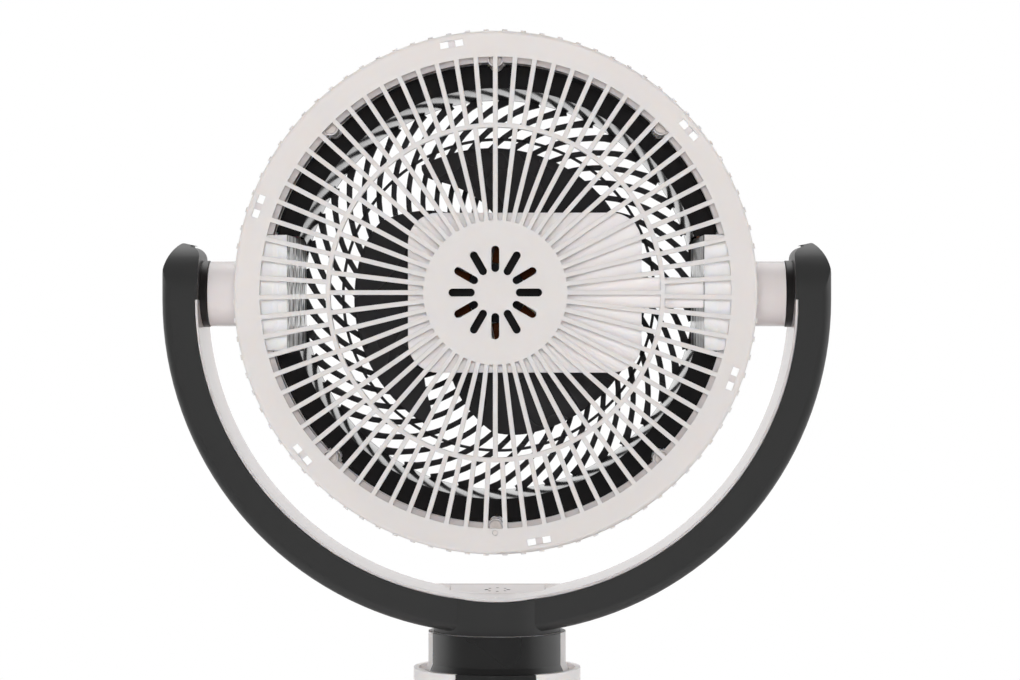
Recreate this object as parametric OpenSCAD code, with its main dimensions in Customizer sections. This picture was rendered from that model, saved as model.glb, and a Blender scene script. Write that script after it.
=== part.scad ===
// Table-top air circulator: a round head that tilts in a U-shaped yoke, on a base that swings side to side.
// Millimetres, +Z up, origin on the floor under the swing axis. The head blows towards +Y.

/* [Head] */
// Outer radius of the rear rim
rim_r = 160; // [156:1:164]
// Radial width of the rear rim's flat face
rim_w = 16; // [14:0.1:17]
// Thickness of the rim, and the thickness of the grille's hub disc
rim_t = 2.5; // [2:0.1:3]
// Depth of the rim's turned-in outer edge
rim_skirt = 12; // [8:1:14]
// Number of grip ridges round the rim
ridge_count = 88; // [60:1:100]
// Height of a grip ridge
ridge_h = 0.9; // [0.6:0.1:1.6]
// Width of a grip ridge
ridge_w = 3.2; // [2:0.1:4]
// Depth of the head from the rear rim to the front face
head_depth = 130; // [126:1:140]
// Distance from the rear rim to the tilt axis
pivot_back = 60; // [56:1:64]
// Wall of the barrel
barrel_wall = 3.8; // [3.4:0.1:4.2]
// Width of the sloping lip inside the barrel's rear end
lip_w = 3.4; // [2.6:0.1:4]
// Radial width of the front face
front_w = 20; // [16:1:24]

/* [Rear grille] */
// Number of outer ribs
outer_ribs = 75; // [60:1:80]
// Number of inner ribs
inner_ribs = 52; // [40:1:56]
// Width of a rib
rib_w = 2.9; // [2.4:0.1:3.2]
// Depth of a rib, front to back
rib_d = 6; // [4:0.5:6.5]
// Inner radius of the ring between inner and outer ribs
mid_ring_r = 100.9; // [90:0.1:110]
// Radial width of that ring
mid_ring_w = 2.8; // [2:0.1:4]
// Radius of the hub disc
hub_disc_r = 44.2; // [43:0.1:48]
// Number of vent slots in the hub disc
vent_count = 12; // [8:1:14]
// Width of a vent slot
vent_w = 4.8; // [3:0.1:5]

/* [Duct and front grille] */
// Inner radius of the duct at its rear end
duct_rear_r = 128.7; // [127:0.1:129.5]
// Inner radius of the duct at its front end
duct_front_r = 126.3; // [125:0.1:127]
// Wall of the duct
duct_wall = 2; // [1.5:0.1:2.5]
// Distance from the rear rim to the duct's rear flange
duct_start = 48.5; // [47:0.5:51]
// Number of spiral ribs
spiral_ribs = 42; // [36:1:48]
// Width of a spiral rib
spiral_w = 3.5; // [2.4:0.1:3.8]
// Depth of a spiral rib, front to back
spiral_d = 4; // [3:0.5:5]
// Radius of the thin ring that crosses the spiral ribs
spiral_ring_r = 101; // [90:1:110]
// Radius of the front grille's centre disc
front_disc_r = 36; // [30:1:42]

/* [Impeller and motor] */
// Tip radius of the blades
blade_tip_r = 94; // [88:1:96]
// Number of blades
blade_count = 3; // [3:1:3]
// Thickness of a blade
blade_t = 2.4; // [2:0.1:3]
// Radius of the impeller's hub
impeller_hub_r = 31; // [28:1:34]
// Radius of the motor shaft
shaft_r = 4; // [3.5:0.1:4.2]
// Running clearance between a shaft and its bearing, on the radius
run_gap = 0.03; // [0.02:0.01:0.06]
// Height of the motor cover
cover_h = 98; // [96:1:102]
// Reach of the motor cover to the left of the axis
cover_left = 53.7; // [52:0.1:58]
// Reach of the motor cover to the right of the axis
cover_right = 89.5; // [88:0.1:92]
// Corner radius of the motor cover
cover_corner = 18.5; // [16:0.5:20]
// Outer radius of the rotor
rotor_r = 38; // [36:0.5:40]

/* [Tilt] */
// Height of the tilt axis above the floor
axis_z = 320; // [316:1:340]
// Outer radius of the pivot sleeves
sleeve_r = 20.5; // [20:0.1:22]
// Bore radius of the pivot sleeves
sleeve_bore = 18.2; // [17.6:0.1:18.6]
// Distance from the middle to a sleeve's outer end
sleeve_end = 180.7; // [180:0.1:181.5]
// Height of the side covers
side_h = 71; // [66:1:76]
// Length of the tilt motor's body
tilt_motor_len = 27; // [24:0.2:27]
// Radius of the tilt motor's body
tilt_motor_r = 17.5; // [16.5:0.1:17.5]

/* [Yoke] */
// Outer radius of the yoke
yoke_out_r = 208; // [206:0.5:212]
// Inner radius of the yoke
yoke_in_r = 185.6; // [185:0.1:187]
// Depth of the yoke, front to back
yoke_depth = 64; // [60:1:68]
// Distance of the yoke's arc centre below the tilt axis
yoke_drop = 4; // [3:0.5:6]
// Wall of the yoke's shells
yoke_wall = 2.5; // [2:0.1:3]
// Radius of the upright hub at the middle of the yoke
yoke_hub_r = 40; // [39.5:0.5:42.5]
// Width of the control panel
panel_w = 60; // [50:1:62]

/* [Neck and base] */
// Outer radius of the neck
neck_r = 43.3; // [42.8:0.1:43.8]
// Wall of the neck
neck_wall = 2.5; // [2:0.1:3]
// Outer radius of the column
column_r = 52.6; // [52:0.1:54]
// Wall of the column and the base
base_wall = 3.4; // [3:0.1:3.8]
// Height of the column's top above the floor
column_top = 85; // [84:1:86]
// Width of the dark panel at the column's rear
rear_panel_w = 50; // [40:1:56]
// Radius of the base
base_r = 130; // [126:1:140]
// Height of the base's rim
base_edge_h = 18; // [16:1:19]
// Thickness of the base weight
weight_t = 10; // [8:0.5:10]
// Radius of the base weight
weight_r = 100; // [95:1:102]
// Tooth size of the yaw gears
yaw_module = 1.25; // [1.25:0.05:1.25]
// Teeth of the yaw ring gear
yaw_gear_teeth = 48; // [48:1:48]
// Teeth of the yaw pinion
yaw_pinion_teeth = 12; // [12:1:12]

/* [Hidden] */
$fn = 96;
fit = 0.3;
light = "gainsboro";
dark = [0.22, 0.22, 0.22];
black = [0.1, 0.1, 0.1];
steel = "silver";
copper = [0.72, 0.42, 0.2];
board_green = [0.1, 0.35, 0.2];
pom = "ivory";

// Head, measured forward from the rear rim
rim_in_r = rim_r - rim_w;
barrel_step = 0.8;
barrel_in_r = rim_in_r + barrel_step;
barrel_out_r = barrel_in_r + barrel_wall;
front_lip = 7.5;
barrel_end = head_depth - front_lip;
clip_count = 6;
clip_first = 40;
clip_slot_l = 14.3;
clip_slot_w = 4.1;
clip_slot_r = rim_r - 6;
clip_lug_w = 4.2;
boss_angles = [45, 90, 135, 225, 270, 315];
lip_start = rib_d + 1;
boss_ring_r = barrel_in_r - 1.4;
boss_r = 4.9;
boss_recess_r = boss_r - 0.9;
boss_head_r = 3.5;
boss_tube_r = 3;
lug_r = 3.6;
lug_gap = 0.25;
boss_start = lip_start + 1.5;
boss_seat = boss_start + 4;
boss_end = duct_start - 1;
screw_r = 1.5;
screw_head_r = 3.1;
lock_screw_r = 0.8;
lock_head_r = 1.3;
lock_l = 7;

// Front housing: a sleeve inside the barrel, and the front face
housing_gap = 0.5;
housing_wall = 1.6;
housing_out_r = barrel_in_r - housing_gap;
housing_in_r = housing_out_r - housing_wall;
face_t = 2.5;
front_hole_r = barrel_out_r - front_w;
front_round = 6;
ledge_w = 3;

// Front grille and duct
grille_z = head_depth - 15.3;
grille_ring_t = 2.7;
grille_rim_r = front_hole_r + 5;
duct_end = grille_z - 0.5;
duct_flange_t = 2;
duct_flange_r = housing_in_r - fit;
spiral_a = 0.2635;
spiral_b = 0.002057;
spiral_phase = 7.92;
disc_h = 6;

// Side covers
side_start = rib_d + 2.5;
side_end = grille_z - 3;
side_x_rear = duct_rear_r - 0.7;
side_x_front = duct_front_r - 1.8;
side_wall = 2.2;
side_out_r = barrel_in_r;
side_gap = 0.4;
side_cut_x = min(duct_rear_r, duct_front_r) - 3.8;

// Motor cover and motor, measured forward from the rear rim
cover_start = rib_d + 1.5;
cover_split = 42;
cover_front = 52;
cover_wall = 2.2;
vent_hole_r = hub_disc_r - 10.2;
channel_h = 18.6;
channel_d = 14.5;
post_ring_r = hub_disc_r - 5.7;
post_r = 3.6;
corner_inset = 9;
corner_post_r = 4;
bearing_r = 11;
bearing_t = 7;
tube_r = 13;
tube_start = 24;
rear_bearing_z = 25;
front_bearing_z = cover_front - 1.5 - bearing_t;
magnet_t = 3;
air_gap = 0.8;
rotor_wall = 2.5;
stator_r = rotor_r - rotor_wall - magnet_t - air_gap;
stator_z = 28;
stator_t = 12;
stator_teeth = 9;
shaft_start = 13;
impeller_start = cover_front + 2;
impeller_room = 24.7;
impeller_end = grille_z - impeller_room;
shaft_end = impeller_end + 9;
nut_h = 11;
blade_front_z = impeller_end + 4;
blade_rear_z = impeller_start + 4;
blade_lead_a = 196;
blade_span_a = 105;

// Tilt axis, measured outward from the middle
collar_r = sleeve_r + 0.4;
collar_gap = 0.5;
sleeve_wall_t = 4;
left_spigot_r = 7;
right_spigot_r = 10;
bush_t = 2;
bush_flange_r = 15;
bush_flange_t = 1.3;
tilt_motor_front = sleeve_end - sleeve_wall_t - bush_flange_t - 5.6;
tilt_motor_back = tilt_motor_front - tilt_motor_len;
tilt_shaft_r = 3.5;
spigot_in = tilt_motor_front + 4;
tilt_shaft_out = sleeve_end - 1;
clip_t = 1.2;

// Yoke, in world height
arc_z = axis_z - yoke_drop;
half_depth = yoke_depth / 2;
split_y = half_depth - 8;
yoke_round = 6;
tip_slope = 3.9;
tip_apex = 9.9;
tip_flat = 0.6;
tip_curve = 30;
tip_curve_z = half_depth - sqrt(pow(tip_curve, 2) - pow(tip_curve - tip_apex, 2));
tip_inner_curve = 6.5;
hub_bottom = arc_z - yoke_out_r - 0.3;
seam_y = 16.5;
edge_t = 1.2;
groove = 0.5;
panel_t = 2.4;
panel_rise = 4.2;

// Neck
neck_top = hub_bottom;
neck_plate_t = 4;
neck_low = column_top - 11;
neck_cover_t = 1.6;
neck_flare = 2;
post_top = column_top - 4;
post_out_r = 12;
post_in_r = 8;
shoulder_r = 16;
hub_out_r = 17;
plate_z = 6;
plate_top = plate_z + weight_t;
shoulder_top = plate_top + 14;
washer_t = 2;
hub_low = shoulder_top + washer_t + 0.3;
web_top = neck_low + 4;
yaw_gear_r = yaw_module * yaw_gear_teeth / 2;
yaw_pinion_r = yaw_module * yaw_pinion_teeth / 2;
yaw_distance = yaw_gear_r + yaw_pinion_r;
yaw_gear_z = hub_low + 4.7;
yaw_gear_t = 6;
yaw_flange_t = 3;
gear_screw_ring = 23;
yaw_motor_r = 17.5;
yaw_motor_h = 17.5;
yaw_shaft_r = 2.5;
pressure_angle = 25;
backlash = 0.35;

// Column and base
column_in_r = column_r - base_wall;
ring_top = column_top - 3;
ring_t = 3;
flare_r = 24;
flare_end_r = column_r + flare_r;
base_top = 30;
edge_round = 8;
edge_bottom = 2.5;
panel_low = base_top + flare_r + 0.5;
jack_z = (panel_low + column_top) / 2 - 4;
jack_hole_r = 7;
jack_recess_d = 4.6;
cover_z = 2;
cover_t = 2.5;
weight_screw_ring = weight_r - 20;
weight_angles = [45, 135, 225, 315];
ring_middle = (weight_r + base_r - base_wall) / 2;
cover_screw_ring = ring_middle - 1.3;
foot_ring = ring_middle - 7.3;
foot_count = 5;
foot_r = 9;
foot_t = 3;

// Places
// Local z runs forward from the rear rim, local x to the right, local y down
module from_rim() translate([0, -pivot_back, axis_z]) rotate([-90, 0, 0]) children();
// Turns local x to an angle counted counter-clockwise as seen from behind the head
module clock(a) rotate([0, 0, -a]) children();
module around(count, first = 0) for (i = [0:count - 1]) clock(first + i * 360 / count) children();
// Local z runs outward along the tilt axis, local x points down on the right side
module tilt_axis(side) translate([0, 0, axis_z]) rotate([0, side * 90, 0]) children();
// Local z runs along +Y, local x to the right, local y up; used for shapes drawn as seen from behind
module seen_from_behind(z) translate([0, 0, z]) rotate([90, 0, 0]) mirror([0, 0, 1]) children();

// Shapes
module tube(r_out, r_in, h) difference() {
    cylinder(r = r_out, h = h);
    translate([0, 0, -1]) cylinder(r = r_in, h = h + 2);
}
module band(r_out, r_in) difference() {
    circle(r = r_out);
    circle(r = r_in);
}
module rounded_rect(x0, x1, y0, y1, r) {
    translate([x0 + r, y0]) square([x1 - x0 - 2 * r, y1 - y0]);
    translate([x0, y0 + r]) square([x1 - x0, y1 - y0 - 2 * r]);
    for (x = [x0 + r, x1 - r]) for (y = [y0 + r, y1 - r]) translate([x, y]) circle(r = r);
}
module screw(length, r, head_r, head_h) {
    translate([0, 0, -head_h]) difference() {
        cylinder(r = head_r, h = head_h);
        for (a = [0, 90]) rotate(a) translate([-head_r * 0.6, -0.4, -1])
            cube([head_r * 1.2, 0.8, 1 + head_h * 0.5]);
    }
    cylinder(r = r, h = length);
}

// Involute spur gear outline
function involute(base, t) = [base * (cos(t) + t * PI / 180 * sin(t)), base * (sin(t) - t * PI / 180 * cos(t))];
function roll_to(base, r) = sqrt(pow(r / base, 2) - 1) * 180 / PI;
function turned(p, a) = [p[0] * cos(a) - p[1] * sin(a), p[0] * sin(a) + p[1] * cos(a)];
module gear_outline(teeth, m) {
    pitch = m * teeth / 2;
    base = pitch * cos(pressure_angle);
    tip = pitch + m;
    root = pitch - 1.25 * m;
    start = max(base, root + 0.05);
    pitch_point = involute(base, roll_to(base, pitch));
    lean = atan2(pitch_point[1], pitch_point[0]);
    half = 90 / teeth - backlash / 2 / pitch * 180 / PI;
    steps = 4;
    flank = [for (i = [0:steps])
        turned(involute(base, roll_to(base, start + (tip - start) * i / steps)), -lean - half)];
    foot_a = atan2(flank[0][1], flank[0][0]);
    tooth = concat([[root * cos(foot_a), root * sin(foot_a)]], flank,
        [for (i = [steps:-1:0]) [flank[i][0], -flank[i][1]]], [[root * cos(foot_a), -root * sin(foot_a)]]);
    polygon([for (k = [0:teeth - 1]) each [for (p = tooth) turned(p, k * 360 / teeth)]]);
}

// Head
module rim_profile() difference() {
    union() {
        translate([rim_in_r, 0]) square([rim_w, rim_t]);
        translate([rim_r - 2.2, 0]) square([2.2, rim_skirt]);
    }
    difference() {
        translate([rim_r - 2, -1]) square([3, 3]);
        translate([rim_r - 2, 2]) circle(r = 2);
    }
}
module ribs_outline() {
    band(mid_ring_r + mid_ring_w, mid_ring_r);
    around(outer_ribs, 90) translate([mid_ring_r + 1, -rib_w / 2])
        square([rim_in_r + barrel_step / 2 - mid_ring_r - 1, rib_w]);
    around(inner_ribs) translate([hub_disc_r - 1, -rib_w / 2])
        square([mid_ring_r + 1 - hub_disc_r + 1, rib_w]);
}
module rear_grille() color(light) from_rim() difference() {
    union() {
        rotate_extrude() rim_profile();
        translate([0, 0, 2.2]) linear_extrude(rim_skirt - 2.2) around(ridge_count, 180 / ridge_count)
            translate([rim_r - 1, -ridge_w / 2]) square([1 + ridge_h, ridge_w]);
        linear_extrude(rib_d) ribs_outline();
        cylinder(r = hub_disc_r, h = rim_t);
        around(4, 45) translate([post_ring_r, 0, 0]) cylinder(r = post_r, h = cover_start);
    }
    around(vent_count) translate([0, 0, -1]) linear_extrude(rim_t + 2) {
        translate([vent_hole_r * 0.44, -vent_w / 2]) square([vent_hole_r * 0.33, vent_w]);
        translate([vent_hole_r * 0.44, 0]) circle(r = vent_w / 2);
        translate([vent_hole_r * 0.77, 0]) circle(r = vent_w / 2);
    }
    around(clip_count, clip_first) translate([clip_slot_r - clip_slot_w / 2, -clip_slot_l / 2, -1])
        cube([clip_slot_w, clip_slot_l, rim_t + 2]);
    around(4, 45) translate([post_ring_r, 0, 1.5]) cylinder(r = screw_r, h = cover_start);
    lock_place() translate([0, 0, -1]) cylinder(r = lock_screw_r, h = rim_t + 2);
    lock_place() translate([0, 0, -1]) cylinder(r = lock_head_r + 0.4, h = 2.2);
}
module lock_place() clock(270) translate([barrel_in_r + barrel_wall / 2, 0, 0]) children();
module grille_lock_screw() color(steel) from_rim() lock_place() translate([0, 0, 0.3]) {
    cylinder(r = lock_head_r, h = 0.9);
    cylinder(r = lock_screw_r, h = lock_l);
}

module barrel_boss_place() for (a = boss_angles) clock(a) translate([boss_ring_r, 0, 0]) children();
module barrel_lip() difference() {
    rotate_extrude() polygon([[barrel_in_r + 0.5, lip_start], [barrel_in_r, lip_start],
        [barrel_in_r - lip_w, lip_start + lip_w], [barrel_in_r - lip_w, lip_start + lip_w + 1],
        [barrel_in_r, lip_start + 2 * lip_w + 1], [barrel_in_r + 0.5, lip_start + 2 * lip_w + 1]]);
    for (side = [-1, 1]) translate([side * barrel_in_r - 30, -side_h / 2 - side_gap, 0])
        cube([60, side_h + 2 * side_gap, head_depth]);
}
module barrel() color(light) difference() {
    union() {
        from_rim() {
            translate([0, 0, rim_t]) tube(barrel_out_r, barrel_in_r, barrel_end - rim_t);
            barrel_lip();
            intersection() {
                barrel_boss_place() {
                    translate([0, 0, boss_start]) cylinder(r = boss_r, h = boss_seat + 1.5 - boss_start);
                    translate([0, 0, boss_seat]) cylinder(r = boss_tube_r, h = boss_end - boss_seat);
                }
                cylinder(r = barrel_in_r + 1, h = head_depth);
            }
            around(clip_count, clip_first) translate([barrel_out_r - 1, -clip_lug_w / 2, rim_t + 0.3])
                cube([clip_slot_r + clip_slot_w / 2 + 0.3 - barrel_out_r + 1, clip_lug_w, 8]);
        }
        for (side = [-1, 1]) tilt_axis(side) difference() {
            translate([0, 0, barrel_in_r - 3]) cylinder(r = sleeve_r, h = sleeve_end - barrel_in_r + 3);
            rotate([0, -side * 90, 0]) rotate([90, 0, 0])
                cylinder(r = barrel_in_r + 0.5, h = 4 * sleeve_r, center = true);
        }
    }
    tilt_axis(-1) translate([0, 0, duct_front_r]) {
        cylinder(r = sleeve_bore, h = sleeve_end - sleeve_wall_t - duct_front_r);
        cylinder(r = left_spigot_r + bush_t, h = 80);
    }
    tilt_axis(1) translate([0, 0, duct_front_r]) {
        cylinder(r = sleeve_bore, h = sleeve_end - sleeve_wall_t - duct_front_r);
        cylinder(r = right_spigot_r + bush_t, h = 80);
    }
    from_rim() {
        translate([0, 0, boss_start - 1]) barrel_boss_place() cylinder(r = screw_r + 0.1, h = duct_start);
        translate([0, 0, boss_start - 1]) barrel_boss_place() cylinder(r = boss_recess_r, h = boss_seat + 1 - boss_start);
        translate([0, 0, boss_end]) barrel_boss_place() cylinder(r = lug_r + lug_gap, h = head_depth);
        lock_place() cylinder(r = lock_screw_r, h = lock_l + 0.4);
    }
    tilt_axis(-1) bracket_screw_place() translate([0, 0, tilt_motor_back - 3]) cylinder(r = screw_r, h = 6);
}
module barrel_screws() color([0.85, 0.8, 0.65]) from_rim() translate([0, 0, boss_seat])
    barrel_boss_place() screw(boss_end + 16.5 - boss_seat, screw_r, boss_head_r, 2.4);

module front_profile() {
    difference() {
        union() {
            translate([housing_in_r, duct_start + 0.5]) square([housing_wall, head_depth - duct_start - 0.5 - 1]);
            translate([housing_in_r - ledge_w, duct_start + duct_flange_t]) square([ledge_w + 0.5, 2]);
            translate([front_hole_r, head_depth - face_t]) square([front_w, face_t]);
            translate([front_hole_r, grille_z + 1.3 + grille_ring_t]) square([face_t, head_depth - grille_z - 1.3 - grille_ring_t]);
            translate([barrel_out_r - barrel_wall, barrel_end + 0.3]) square([barrel_wall, front_lip - 0.3]);
            translate([housing_in_r, barrel_end + 0.3]) square([barrel_out_r - housing_in_r, face_t]);
        }
        difference() {
            translate([barrel_out_r - front_round, head_depth - front_round]) square(front_round + 1);
            translate([barrel_out_r - front_round, head_depth - front_round]) circle(r = front_round);
        }
    }
    intersection() {
        translate([barrel_out_r - front_round, head_depth - front_round]) band(front_round, front_round - face_t);
        translate([barrel_out_r - front_round, head_depth - front_round]) square(front_round);
    }
}
module front_housing() color(light) difference() {
    union() {
        from_rim() rotate_extrude() front_profile();
        from_rim() translate([0, 0, boss_end]) barrel_boss_place() cylinder(r = lug_r, h = 23);
    }
    for (side = [-1, 1]) translate([side * (duct_front_r + 15), side_end / 2 - pivot_back - 10, axis_z])
        cube([40, side_end + side_gap * 2 + 20, side_h + 2 * side_gap], center = true);
    from_rim() barrel_boss_place() cylinder(r = screw_r, h = duct_start + 25);
}

// The duct's wall bends like a shallow trumpet: its radius falls with the square of the way to the front
duct_steps = 14;
function duct_at(t, out) = [duct_front_r + (duct_rear_r - duct_front_r) * pow(1 - t, 2) + out * duct_wall,
    duct_start + (duct_end - duct_start) * t];
module duct_profile() {
    edge = duct_flange_t / (duct_end - duct_start);
    inner = [for (i = [0:duct_steps]) duct_at(i / duct_steps, 0)];
    outer = [for (i = [duct_steps:-1:0]) duct_at(edge + (1 - 2 * edge) * i / duct_steps, 1)];
    polygon(concat(inner, [[grille_rim_r, duct_end], [grille_rim_r, duct_end - duct_flange_t]], outer,
        [[duct_flange_r, duct_start + duct_flange_t], [duct_flange_r, duct_start]]));
}
module duct() color(black) difference() {
    from_rim() rotate_extrude() duct_profile();
    for (side = [-1, 1]) translate([side * (side_cut_x + 20), side_end / 2 - pivot_back + 5, axis_z])
        cube([40, side_end - 10 + 2 * side_gap, side_h + 2 * side_gap], center = true);
    from_rim() barrel_boss_place() cylinder(r = lug_r + 0.8, h = head_depth);
}

// Angle of a spiral rib at radius r, and the rib as a bent strip
function spiral_angle(r) = -(spiral_a * r + spiral_b * r * r) + spiral_phase;
function spiral_point(r, side) = let (a = spiral_angle(r), slope = r * (spiral_a + 2 * spiral_b * r) * PI / 180,
    lean = atan(slope), off = side * spiral_w / 2)
    [r * cos(a) + off * sin(a - lean), r * sin(a) - off * cos(a - lean)];
module spiral_rib() {
    steps = 9;
    first = front_disc_r - 3;
    last = grille_rim_r - 6.5;
    radii = [for (i = [0:steps]) first + (last - first) * i / steps];
    polygon(concat([for (r = radii) spiral_point(r, 1)],
        [for (i = [steps:-1:0]) spiral_point(radii[i], -1)]));
}
module front_grille() color(black) seen_from_behind(axis_z) translate([0, 0, grille_z - pivot_back]) {
    linear_extrude(spiral_d) for (i = [0:spiral_ribs - 1]) rotate(i * 360 / spiral_ribs) spiral_rib();
    linear_extrude(spiral_d) band(spiral_ring_r + 0.9, spiral_ring_r - 0.9);
    translate([0, 0, 1.3]) linear_extrude(grille_ring_t) band(grille_rim_r, duct_front_r);
    linear_extrude(spiral_d) band(grille_rim_r - 4, duct_front_r);
    cylinder(r = front_disc_r, h = spiral_d);
    cylinder(r = front_disc_r - 4, h = disc_h);
}

// A box at one side of the head that closes off the pivot from the air
module side_cover(side) color(light) difference() {
    intersection() {
        mirror([side < 0 ? 1 : 0, 0, 0]) translate([0, -pivot_back, axis_z - side_h / 2]) linear_extrude(side_h)
            difference() {
                polygon([[side_x_rear, side_start], [side_x_front, side_end],
                    [side_out_r + 5, side_end], [side_out_r + 5, side_start]]);
            }
        from_rim() cylinder(r = side_out_r, h = head_depth);
    }
    mirror([side < 0 ? 1 : 0, 0, 0]) translate([0, -pivot_back, axis_z - side_h / 2 + side_wall])
        linear_extrude(side_h - 2 * side_wall)
            polygon([[side_x_rear + side_wall, side_start + side_wall],
                [side_x_front + side_wall, side_end - side_wall],
                [side_out_r + 10, side_end - side_wall], [side_out_r + 10, side_start + side_wall]]);
    if (side > 0) translate([side_x_rear - 5, cover_start + cover_wall - pivot_back + 1, axis_z - 5])
        cube([side_wall + 10, channel_d - 2 * cover_wall - 1, 10]);
}
module side_cover_left() side_cover(-1);
module side_cover_right() side_cover(1);

module cover_outline(inset) rounded_rect(-cover_left + inset, cover_right - inset,
    -cover_h / 2 + inset, cover_h / 2 - inset, cover_corner - inset);
module corner_place() for (x = [-cover_left + corner_inset, cover_right - corner_inset])
    for (y = [-1, 1]) translate([x, y * (cover_h / 2 - corner_inset)]) children();
module motor_cover() color(light) from_rim() difference() {
    union() {
        difference() {
            translate([0, 0, cover_start]) linear_extrude(cover_split - cover_start) cover_outline(0);
            translate([0, 0, cover_start + cover_wall]) linear_extrude(cover_split) cover_outline(cover_wall);
        }
        translate([0, 0, cover_start + 1]) corner_place() cylinder(r = corner_post_r, h = cover_split - cover_start - 1);
        for (x = [50, 80]) for (y = [-28, 28]) translate([x, y, cover_start + 1])
            cylinder(r = 2.5, h = tube_start - cover_start - 1);
        difference() {
            translate([cover_right - 1, -channel_h / 2, cover_start])
                cube([side_x_rear - cover_right + 0.4, channel_h, channel_d]);
            translate([cover_right - 5, -channel_h / 2 + cover_wall, cover_start + cover_wall])
                cube([60, channel_h - 2 * cover_wall, channel_d - 2 * cover_wall]);
        }
    }
    translate([cover_right - 5, -channel_h / 2 + cover_wall, cover_start + cover_wall])
        cube([10, channel_h - 2 * cover_wall, channel_d - 2 * cover_wall]);
    cylinder(r = vent_hole_r, h = cover_start + 3);
    around(4, 45) translate([post_ring_r, 0, 0]) cylinder(r = screw_r + 0.1, h = cover_start + 5);
    translate([0, 0, cover_start + 5]) corner_place() cylinder(r = screw_r, h = cover_split);
}
module motor_cover_screws() color(steel) from_rim() around(4, 45)
    translate([post_ring_r, 0, cover_start + cover_wall]) mirror([0, 0, 1])
        screw(cover_start + cover_wall - 2, screw_r, 2.8, 2);
module motor_housing() color(light) from_rim() difference() {
    union() {
        difference() {
            translate([0, 0, cover_split]) linear_extrude(cover_front - cover_split) cover_outline(0);
            translate([0, 0, cover_split - 1]) linear_extrude(cover_front - cover_split + 1 - cover_wall)
                cover_outline(cover_wall);
        }
        translate([0, 0, cover_split]) corner_place() cylinder(r = corner_post_r, h = cover_front - cover_split - 1);
        translate([0, 0, tube_start]) cylinder(r = tube_r, h = cover_front - tube_start);
    }
    translate([0, 0, tube_start - 1]) cylinder(r = bearing_r - 1.5, h = 60);
    translate([0, 0, tube_start - 1]) cylinder(r = bearing_r, h = rear_bearing_z + bearing_t - tube_start + 1);
    translate([0, 0, front_bearing_z]) cylinder(r = bearing_r, h = 20);
    corner_place() cylinder(r = screw_r + 0.1, h = cover_front + 5);
    translate([0, 0, cover_front - 3]) corner_place() cylinder(r = screw_head_r + 0.2, h = 5);
}
module motor_housing_screws() color(steel) from_rim() translate([0, 0, cover_front - 3]) corner_place()
    mirror([0, 0, 1]) screw(22, screw_r, screw_head_r, 2.4);

module stator_core() color(steel) from_rim() translate([0, 0, stator_z]) linear_extrude(stator_t) difference() {
    union() {
        circle(r = tube_r + 5);
        around(stator_teeth) translate([tube_r + 3, -3]) square([stator_r - tube_r - 5, 6]);
        intersection() {
            band(stator_r, stator_r - 2.5);
            around(stator_teeth) polygon([[0, 0], [stator_r * 2, -stator_r * 0.6], [stator_r * 2, stator_r * 0.6]]);
        }
    }
    circle(r = tube_r);
}
module stator_coils() color(copper) from_rim() around(stator_teeth) difference() {
    translate([tube_r + 5.3, -5.6, stator_z - 3.2])
        cube([stator_r - 2.8 - tube_r - 5.3, 11.2, stator_t + 6.4]);
    translate([tube_r, -3, stator_z]) cube([stator_r, 6, stator_t]);
}
module motor_bearings() color(steel) from_rim() for (z = [rear_bearing_z, front_bearing_z])
    translate([0, 0, z]) tube(bearing_r, shaft_r + run_gap, bearing_t);
module motor_board() color(board_green) from_rim() translate([0, 0, tube_start]) {
    translate([45, -33, 0]) cube([40, 66, 1.6]);
    for (y = [-20, -2]) translate([74, y, 1.5]) cylinder(r = 6, h = 12);
    translate([52, -12, 1.5]) cube([14, 14, 2]);
    translate([50, 8, 1.5]) cube([28, 10, 6]);
    translate([60, -28, 1.5]) cube([10, 8, 6]);
}

module motor_rotor() color(steel) from_rim() difference() {
    union() {
        translate([0, 0, 17]) tube(rotor_r, rotor_r - rotor_wall, stator_z + stator_t + 4 - 17);
        translate([0, 0, 17]) cylinder(r = rotor_r, h = 2);
        translate([0, 0, 15]) cylinder(r = 8, h = tube_start - 1 - 15);
    }
    translate([0, 0, 10]) cylinder(r = shaft_r, h = 30);
    around(6, 30) translate([rotor_r * 0.55, 0, 10]) cylinder(r = rotor_r * 0.2, h = 10);
}
module rotor_magnets() color([0.2, 0.2, 0.22]) from_rim() translate([0, 0, stator_z - 3])
    tube(rotor_r - rotor_wall, rotor_r - rotor_wall - magnet_t, stator_t + 6);
module motor_shaft() color(steel) from_rim() translate([0, 0, shaft_start])
    cylinder(r = shaft_r, h = shaft_end - shaft_start);

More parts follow.
